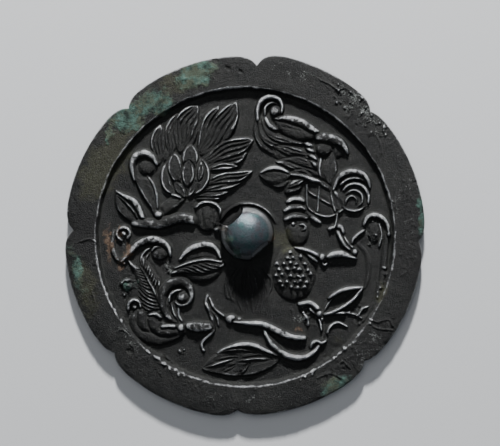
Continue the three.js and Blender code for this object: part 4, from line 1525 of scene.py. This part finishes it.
class Patina(Enum):
    """The coloured patinas and where each of them shows; one black patch is painted shadow."""

    MALACHITE = (
        Patch((-44.0, 49.2), 20.0, 9.0, 38.0),
        Patch((-34.0, 53.4), 8.5, 7.5, 0.0, 1.2),
        Patch((-20.0, 64.4), 14.0, 8.0, 18.0, 0.95),
        Patch((71.0, 10.0), 19.0, 3.6, 90.0, 0.8),
        Patch((36.0, -60.0), 11.0, 7.0, 32.0, 0.8),
        Patch((-67.4, -15.0), 17.0, 4.4, 101.0, 0.7),
        Patch((-54.0, 40.0), 2.0, 6.0, 0.0, 0.9),
        Patch((-2.6, -6.6), 2.6, 2.2, -30.0, 1.2),
        Patch((-6.0, -1.0), 5.0, 6.0, 0.0, 0.55),
        Patch((-47.0, -20.0), 5.0, 4.2, 0.0, 0.7),
    )
    OLIVE = (
        Patch((-55.6, 28.6), 26.0, 12.0, 57.0),
        Patch((-46.0, 43.5), 11.0, 6.0, 42.0),
        Patch((16.0, -2.0), 10.0, 8.0, -20.0, 0.8),
        Patch((-64.0, -20.0), 22.0, 8.0, 102.0, 0.7),
        Patch((37.4, -39.8), 6.0, 6.0, 0.0, 0.4),
        Patch((-24.0, 62.0), 18.0, 8.0, 18.0, 0.9),
        Patch((55.0, -23.0), 3.0, 8.0, -15.0, 0.9),
    )
    EARTH = (
        Patch((-54.0, -3.6), 2.2, 11.0, 4.0, 0.9),
        Patch((-50.4, 1.6), 2.6, 2.6, 0.0, 0.7),
        Patch((11.6, -1.2), 2.2, 2.6, 0.0, 0.9),
        Patch((22.8, -38.3), 2.4, 2.0),
        Patch((-47.4, -6.0), 2.6, 4.6, 0.0, 0.8),
        Patch((-49.4, -11.6), 2.2, 4.0, 0.0, 0.7),
        Patch((-9.0, 3.0), 3.4, 2.6, 0.0, 0.6),
    )
    PALE = (
        Patch((64.0, 10.0), 44.0, 11.0, 90.0, 0.65),
        Patch((50.0, -46.0), 26.0, 12.0, 48.0, 0.8),
        Patch((46.0, 50.0), 24.0, 9.0, -42.0, 1.05),
        Patch((51.0, 0.0), 8.0, 14.0, 0.0, 0.8),
        Patch((45.0, -31.0), 10.0, 7.0, -20.0),
        Patch((24.0, -32.0), 12.0, 7.0, 0.0, 0.9),
        Patch((-9.5, 2.6), 5.0, 4.0, -50.0, 1.2),
        Patch((-47.0, -20.0), 5.0, 5.0, 0.0, 1.1),
        Patch((-31.0, -13.0), 3.0, 5.0, 0.0, 1.0),
        Patch((-25.0, -47.0), 7.0, 3.6, -10.0, 0.9),
        Patch((-50.0, 0.0), 5.0, 9.0, 0.0, 0.8),
        Patch((-12.0, -30.0), 5.0, 9.0, 0.0, 0.8),
        Patch((0.0, -64.0), 44.0, 8.0, 0.0, 0.6),
        Patch((-48.0, -40.0), 20.0, 5.0, -46.0, 0.9),
        Patch((20.0, 64.0), 24.0, 6.0, -20.0, 0.6),
    )
    # Black patina on the rim and beside the knob; the patch below the knob is painted shadow, where the
    # knob's shadow falls
    BLACK = (
        Patch((-66.0, 0.0), 12.0, 18.0, 0.0, 1.2),
        Patch((66.0, 0.0), 11.0, 34.0),
        Patch((54.0, -42.0), 24.0, 12.0, 48.0, 0.9),
        Patch((44.0, 36.0), 14.0, 6.0, -42.0, 0.6),
        # Painted shadow: the knob's cast shadow, painted black
        Patch((2.0, -22.0), 12.0, 17.0, 0.0, 1.2),
        Patch((-9.6, -4.0), 3.4, 9.0, 0.0, 1.2),
        Patch((-30.0, 60.0), 8.0, 3.4, 24.0, 0.8),
    )


@dataclass(frozen=True)
class BronzeSkin:
    """The dark lustrous patina of the mirror, its wear and its corrosion, with painted shade in the knob's
    mouth and painted shadow below the knob.
    """

    dark: Colour = (0.0055, 0.0057, 0.0058)
    brown: Colour = (0.0125, 0.0128, 0.0118)
    silver: Colour = (0.42, 0.43, 0.44)
    ash: Colour = (0.046, 0.050, 0.048)
    dust: Colour = (0.015, 0.016, 0.014)
    olive: tuple[Colour, Colour] = ((0.008, 0.008, 0.004), (0.036, 0.038, 0.018))
    malachite: tuple[Colour, Colour] = ((0.010, 0.018, 0.014), (0.074, 0.142, 0.118))
    earth: tuple[Colour, Colour] = ((0.045, 0.026, 0.015), (0.150, 0.108, 0.078))
    khaki: Colour = (0.070, 0.076, 0.050)
    pale: Colour = (0.160, 0.170, 0.164)
    blue: Colour = (0.076, 0.098, 0.110)
    teal: Colour = (0.044, 0.092, 0.094)
    plum: Colour = (0.082, 0.078, 0.088)
    blob: Colour = (0.200, 0.300, 0.300)
    # Near black for the black patina and the knob's flank, and for the painted shadow below the knob
    black: Colour = (0.007, 0.007, 0.007)
    # Painted shade: near black for the floor and sides of the knob's visible mouth
    mouth_shade: Colour = (0.004, 0.004, 0.004)
    # Places on the knob: its bluish skin, its dark flank, a pale blob and the painted shade in its mouth
    knob_patch: Patch = Patch((1.6, 0.8), 11.2, 11.2)
    flank_patch: Patch = Patch(KNOB_PLACE, 13.6, 13.6)
    blob_patch: Patch = Patch((-2.6, -6.7), 1.9, 1.4, -35.0)
    mouth_patch: Patch = Patch((-5.6, 7.4), 9.0, 6.0, 40.5)
    # Height below which the knob's mouth gets the painted shade
    mouth_shade_top: float = 6.5
    bump_distance: float = 0.50 * MM

    def patch_group(self) -> bpy.types.NodeTree:
        """Return the group that is 1 in the middle of an oval place and 0 outside it.

        The place's own coordinates are turned and divided by its reach each way, and their length
        goes through a smooth step.
        """
        vector, number = "NodeSocketVector", "NodeSocketFloat"
        inputs = {"Vector": vector, "Place": vector, "Share": vector, "Turn": number, "Strength": number}
        group = node_group("oval_place", inputs, {"Mask": number})
        graph = Graph(group)
        given = graph.add("NodeGroupInput").outputs
        apart = graph.fed(
            "ShaderNodeVectorMath", {0: given["Vector"], 1: given["Place"]}, operation="SUBTRACT",
        )
        angles = {"Vector": apart.outputs[0], "Angle": given["Turn"]}
        turned = graph.fed("ShaderNodeVectorRotate", angles, rotation_type="Z_AXIS")
        shares = graph.fed(
            "ShaderNodeVectorMath", {0: turned.outputs[0], 1: given["Share"]}, operation="MULTIPLY",
        )
        far = graph.fed("ShaderNodeVectorMath", {0: shares.outputs[0]}, operation="LENGTH")
        near = graph.span(far.outputs["Value"], 1.0, 0.2)
        graph.fed("NodeGroupOutput", {"Mask": graph.times(near, given["Strength"])})
        return group

    def place_spot(self, graph: Graph, patch: bpy.types.NodeTree, spot: Patch, vector: object) -> object:
        """Return the mask of one oval place.

        Args:
            graph: The tree that the mask is for.
            patch: The group of an oval place.
            spot: The place.
            vector: The place on the drawing, in millimetres.

        Returns:
            The output with the mask.
        """
        inputs = {
            "Vector": vector,
            "Place": (*spot.place, 0.0),
            "Share": (1 / spot.reach, 1 / spot.other, 0.0),
            "Turn": -radians(spot.turn),
            "Strength": spot.strength,
        }
        return graph.fed("ShaderNodeGroup", inputs, node_tree=patch).outputs["Mask"]

    def places_group(self, patina: Patina, patch: bpy.types.NodeTree) -> bpy.types.NodeTree:
        """Return the group that masks every place of one patina.

        Args:
            patina: The patina.
            patch: The group of an oval place.

        Returns:
            The group, with a vector in and a mask out.
        """
        name = f"{patina.name.lower()}_places"
        group = node_group(name, {"Vector": "NodeSocketVector"}, {"Mask": "NodeSocketFloat"})
        graph = Graph(group)
        vector = graph.add("NodeGroupInput").outputs["Vector"]
        spots = (self.place_spot(graph, patch, spot, vector) for spot in patina.value)
        graph.fed("NodeGroupOutput", {"Mask": graph.most(0.0, *spots)})
        return group

    def material(self) -> bpy.types.Material:
        """Return the finished material."""
        material = bpy.data.materials.new("aged_bronze")
        material.use_nodes = True
        tree = material.node_tree
        tree.nodes.clear()
        graph = Graph(tree)
        drawing = self.drawing_place(graph)
        masks = self.masks(graph, drawing)
        inputs = {
            "Base Color": self.colour(graph, drawing, masks),
            "Metallic": self.metal(graph, masks),
            "Roughness": self.roughness(graph, drawing, masks),
            "Normal": self.bump(graph, drawing, masks),
            "Specular IOR Level": 0.3,
        }
        shader = graph.fed("ShaderNodeBsdfPrincipled", inputs)
        graph.fed("ShaderNodeOutputMaterial", {"Surface": shader.outputs["BSDF"]})
        return material

    def drawing_place(self, graph: Graph) -> object:
        """Return the place on the drawing in millimetres, as the output of a node."""
        place = graph.add("ShaderNodeTexCoord").outputs["Object"]
        inputs = {"Vector": place, "Scale": (1 / MM, 1 / MM, 1 / MM), "Rotation": (0.0, 0.0, -TURN)}
        return graph.fed("ShaderNodeMapping", inputs).outputs["Vector"]

    def torn_place(self, graph: Graph, drawing: object) -> object:
        """Return the place pushed about by noise, so that borders drawn on it are torn.

        Args:
            graph: The tree that the place is for.
            drawing: The place on the drawing.

        Returns:
            The output with the pushed place.
        """
        pushed = drawing
        for scale, reach in ((0.16, 9.0), (0.8, 3.0)):
            noise = graph.fed("ShaderNodeTexNoise", {"Vector": drawing, "Scale": scale, "Detail": 3.0})
            middle = {0: noise.outputs["Color"], 1: (0.5, 0.5, 0.5)}
            centred = graph.fed("ShaderNodeVectorMath", middle, operation="SUBTRACT").outputs[0]
            push = {0: centred, 1: (reach, reach, 0.0), 2: pushed}
            pushed = graph.fed("ShaderNodeVectorMath", push, operation="MULTIPLY_ADD").outputs[0]
        return pushed

    def masks(self, graph: Graph, drawing: object) -> dict[str, object]:
        """Return the ragged masks of wear, hollows and patinas.

        Args:
            graph: The material's tree.
            drawing: The place on the drawing.

        Returns:
            The output of each mask by its name.
        """
        patch = self.patch_group()
        fine = graph.noise(drawing, 1.1, 6.0, 0.70)
        masks = {
            name: graph.add("ShaderNodeAttribute", attribute_name=name).outputs["Fac"]
            for name in ("wear", "hollow")
        }
        masks |= self.patina_masks(graph, drawing, patch, fine)
        masks |= self.knob_masks(graph, drawing, patch, fine)
        grain = graph.noise(drawing, 2.4, 4.0, 0.70)
        worn = graph.noise(drawing, 0.11, 3.0, 0.55)
        rub = graph.plus(graph.plus(masks["wear"], graph.times(grain, 1.1)), graph.times(worn, 0.7))
        masks["rubbed"] = graph.span(rub, 1.38, 1.95)
        return masks

    def patina_masks(self, graph: Graph, drawing: object, patch: bpy.types.NodeTree, fine: object) -> dict:
        """Return the mask of each patina and of the painted shadow below the knob: ragged patches, or bunches
        of specks for the pale one.

        Args:
            graph: The material's tree.
            drawing: The place on the drawing.
            patch: The group of an oval place.
            fine: Fine noise.

        Returns:
            The output of each mask by the patina's name.
        """
        torn = self.torn_place(graph, drawing)
        coarse = graph.noise(drawing, 0.30, 8.0, 0.68)
        specks = graph.noise(drawing, 2.1, 3.0, 0.60)
        bunches = graph.noise(drawing, 0.24, 4.0, 0.60)
        rough = graph.plus(graph.times(coarse, 1.4), graph.times(fine, 0.9))
        bunched = graph.plus(specks, graph.times(bunches, 0.8))
        masks = {}
        for patina in Patina:
            group = self.places_group(patina, patch)
            place = graph.fed("ShaderNodeGroup", {"Vector": torn}, node_tree=group).outputs["Mask"]
            if patina is Patina.PALE:
                shown = graph.span(graph.plus(bunched, graph.times(place, 0.30)), 1.23, 1.35)
                masks[patina.name] = graph.times(shown, graph.span(place, 0.0, 0.3))
            else:
                shown = graph.span(graph.plus(place, rough), 1.45, 1.95)
                masks[patina.name] = graph.times(shown, graph.span(place, 0.0, 0.2))
        return masks

    def knob_masks(self, graph: Graph, drawing: object, patch: bpy.types.NodeTree, fine: object) -> dict:
        """Return the masks of the knob's skin, flank and blob, and of the painted shade in its mouth.

        Args:
            graph: The material's tree.
            drawing: The place on the drawing.
            patch: The group of an oval place.
            fine: Fine noise.

        Returns:
            The output of each mask by its name.
        """
        height = graph.fed("ShaderNodeSeparateXYZ", {0: drawing}).outputs["Z"]
        over = graph.span(height, FIELD_HEIGHT + 3.6, FIELD_HEIGHT + 5.0)
        foot = graph.span(height, FIELD_HEIGHT, FIELD_HEIGHT + 1.4)
        under = graph.span(height, self.mouth_shade_top, self.mouth_shade_top - 1.0)
        knob, flank, blob, mouth = (
            graph.span(self.place_spot(graph, patch, spot, drawing), low, high)
            for spot, low, high in (
                (self.knob_patch, 0.1, 0.4),
                (self.flank_patch, 0.0, 0.15),
                (self.blob_patch, 0.2, 0.4),
                (self.mouth_patch, 0.1, 0.35),
            )
        )
        return {
            "KNOB": graph.times(graph.times(knob, over), graph.span(fine, 0.25, 0.5, 0.45)),
            "FLANK": graph.times(flank, foot),
            "BLOB": blob,
            # Painted shade over the low parts of the knob's mouth
            "SOIL": graph.times(mouth, under),
        }

    def colour(self, graph: Graph, drawing: object, masks: dict[str, object]) -> object:
        """Return the colour of the skin, in layers from the lowest to the highest.

        Args:
            graph: The material's tree.
            drawing: The place on the drawing.
            masks: The output of each mask by its name.

        Returns:
            The output with the colour.
        """
        cloud = graph.noise(drawing, 0.11, 6.0, 0.70)
        grain = graph.noise(drawing, 1.5, 5.0, 0.72)
        dust = graph.noise(drawing, 1.3, 6.0, 0.80)
        tints = graph.noise(drawing, 0.28, 5.0, 0.65)
        patches = graph.noise(drawing, 0.26, 9.0, 0.72)
        skin = graph.blend(graph.span(tints, 0.5, 0.62), self.blue, self.teal)
        skin = graph.blend(graph.span(tints, 0.48, 0.38), skin, self.plum)
        green = graph.blend(graph.span(patches, 0.36, 0.66), *self.malachite)
        green = graph.blend(graph.times(graph.span(cloud, 0.46, 0.56), 0.7), green, self.khaki)
        layers = (
            (graph.span(dust, 0.52, 0.68), 0.6, self.ash),
            # Black patina, and the painted shadow below the knob
            (masks["BLACK"], 0.85, self.black),
            (masks["hollow"], 0.7, self.dust),
            (masks["OLIVE"], 0.9, graph.blend(graph.span(grain, 0.35, 0.68), *self.olive)),
            (masks["FLANK"], 0.9, self.black),
            (masks["KNOB"], 1.0, graph.blend(masks["BLOB"], skin, self.blob)),
            (masks["rubbed"], 0.8, self.silver),
            (masks["PALE"], 0.85, self.pale),
            (masks["EARTH"], 1.0, graph.blend(graph.span(grain, 0.4, 0.66), *self.earth)),
            (masks["MALACHITE"], 0.92, green),
            # Painted shade: the knob's mouth is painted near black
            (masks["SOIL"], 1.0, self.mouth_shade),
        )
        colour = graph.blend(graph.span(cloud, 0.38, 0.66), self.dark, self.brown)
        for mask, share, tint in layers:
            colour = graph.blend(graph.times(mask, share), colour, tint)
        return colour

    def metal(self, graph: Graph, masks: dict[str, object]) -> object:
        """Return how much of the surface is bare metal: most where rubbed, none under crust or in the painted
        shade of the knob's mouth.
        """
        olive = graph.times(masks["OLIVE"], 0.8)
        # The crust mask here also holds the painted shade of the knob's mouth
        crust = graph.most(masks["MALACHITE"], masks["EARTH"], masks["PALE"], olive, masks["SOIL"])
        bare = graph.mix(masks["rubbed"], graph.mix(masks["KNOB"], 0.3, 0.55), 0.95)
        return graph.math("MULTIPLY", bare, graph.math("SUBTRACT", 1.0, crust), clamp=True)

    def roughness(self, graph: Graph, drawing: object, masks: dict[str, object]) -> object:
        """Return the roughness of the skin: least on the knob, most on crust and on the painted shade in the
        knob's mouth.
        """
        grain = graph.noise(drawing, 0.7, 7.0, 0.72)
        rough = graph.span(grain, 0.3, 0.7, 0.30, 0.58)
        rough = graph.mix(masks["rubbed"], rough, 0.29)
        rough = graph.mix(masks["KNOB"], rough, 0.27)
        # The crust mask here also holds the painted shade of the knob's mouth
        crust = graph.most(masks["MALACHITE"], masks["EARTH"], masks["PALE"], masks["SOIL"])
        return graph.mix(crust, rough, 0.85)

    def bump(self, graph: Graph, drawing: object, masks: dict[str, object]) -> object:
        """Return the normal with the fine grain of the casting and the crust, weaker on the knob."""
        grain = graph.noise(drawing, 1.9, 5.0, 0.72)
        lumps = graph.times(graph.noise(drawing, 0.6, 6.0, 0.66), 0.3)
        crust = graph.times(graph.most(masks["MALACHITE"], masks["PALE"]), 0.6)
        inputs = {
            "Strength": graph.mix(masks["KNOB"], 1.0, 0.4),
            "Distance": self.bump_distance,
            "Height": graph.plus(graph.plus(grain, lumps), crust),
        }
        return graph.fed("ShaderNodeBump", inputs).outputs["Normal"]


@dataclass(frozen=True)
class Studio:
    """The pale floor, the low light from above, the weak fill and the camera."""

    # The picture's middle on the drawing and its width there, in millimetres
    picture_middle: Place = (2.0, 5.0)
    picture_width: float = 200.0
    lens: float = 100.0
    sensor: float = 36.0
    # The main light comes from above the picture at this angle over the floor
    key_elevation: float = radians(22.5)
    key_distance: float = 1600.0
    key_size: float = 0.12
    key_power: float = 74.0
    fill_place: tuple[float, float, float] = (-300.0, 500.0, 1500.0)
    fill_size: float = 1.2
    fill_power: float = 5.5
    sky: Colour = (0.80, 0.88, 1.0)
    sky_strength: float = 0.15
    floor_reach: float = 3.0
    floor_gap: float = 0.0002
    floor_colours: tuple[Colour, Colour] = ((0.60, 0.61, 0.62), (0.64, 0.65, 0.66))

    def build(self) -> None:
        """Make the floor, the lights and the camera."""
        self.floor()
        self.lights()
        self.camera()

    def place(self, x: float, y: float, height: float) -> Vector:
        """Return a place over the drawing in the frame, in metres."""
        return Vector((*on_frame(x, y), height)) * MM

    def floor(self) -> None:
        """Make the pale floor under the mirror."""
        reach, below = self.floor_reach, CAD_BOX[0].z - self.floor_gap
        sides = ((-reach, -reach), (reach, -reach), (reach, reach), (-reach, reach))
        corners = [(x, y, below) for x, y in sides]
        floor = mesh_object("floor", np.array(corners), [[0, 1, 2, 3]])
        material = bpy.data.materials.new("pale_floor")
        material.use_nodes = True
        graph = Graph(material.node_tree)
        shader = material.node_tree.nodes["Principled BSDF"]
        cloud = graph.noise(graph.add("ShaderNodeTexCoord").outputs["Object"], 3.0)
        graph.put(shader.inputs["Base Color"], graph.blend(cloud, *self.floor_colours))
        shader.inputs["Roughness"].default_value = 0.85
        floor.data.materials.append(material)

    def lamp(self, name: str, place: Vector, size: float, power: float) -> None:
        """Add a square light that faces the mirror.

        Args:
            name: The light's name.
            place: Where it stands, in metres.
            size: The length of its side, in metres.
            power: Its power in watts.
        """
        data = bpy.data.lights.new(name, "AREA")
        data.size = size
        data.energy = power
        lamp = bpy.data.objects.new(name, data)
        lamp.location = place
        lamp.rotation_mode = "QUATERNION"
        lamp.rotation_quaternion = place.to_track_quat("Z", "Y")
        bpy.context.scene.collection.objects.link(lamp)

    def lights(self) -> None:
        """Add the low main light, the soft fill from overhead and the dim surroundings."""
        away, angle = self.key_distance, self.key_elevation
        self.lamp("key", self.place(0.0, away * cos(angle), away * sin(angle)), self.key_size, self.key_power)
        self.lamp("fill", self.place(*self.fill_place), self.fill_size, self.fill_power)
        world = bpy.data.worlds.new("studio")
        world.use_nodes = True
        back = world.node_tree.nodes["Background"]
        back.inputs["Color"].default_value = (*self.sky, 1.0)
        back.inputs["Strength"].default_value = self.sky_strength
        bpy.context.scene.world = world

    def camera(self) -> None:
        """Look straight down on the mirror, with the drawing's upward direction up."""
        data = bpy.data.cameras.new("camera")
        data.lens = self.lens
        data.sensor_width = self.sensor
        distance = self.picture_width * self.lens / self.sensor + RIM_HEIGHT
        camera = bpy.data.objects.new("camera", data)
        camera.location = self.place(*self.picture_middle, distance)
        camera.rotation_euler = (0.0, 0.0, TURN)
        bpy.context.scene.collection.objects.link(camera)
        bpy.context.scene.camera = camera


def main() -> None:
    """Build the studio and the mirror, hide the CAD model's mirror and attach the new piece to the root body.
    """
    logging.basicConfig(level=logging.INFO, format="%(message)s")
    Studio().build()
    log.info("studio: floor, lights and camera")
    fineness = Fineness.for_this_run()
    casting = Casting(fineness.pitch)
    log.info("relief: %d points pressed", casting.sheet.height.size)
    piece = MirrorMesh(casting, fineness).build()
    piece.data.materials.append(BronzeSkin().material())
    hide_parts("mirror")
    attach(piece, "root")
    log.info("%s: %d faces", piece.name, len(piece.data.polygons))


if __name__ == "__main__":
    main()
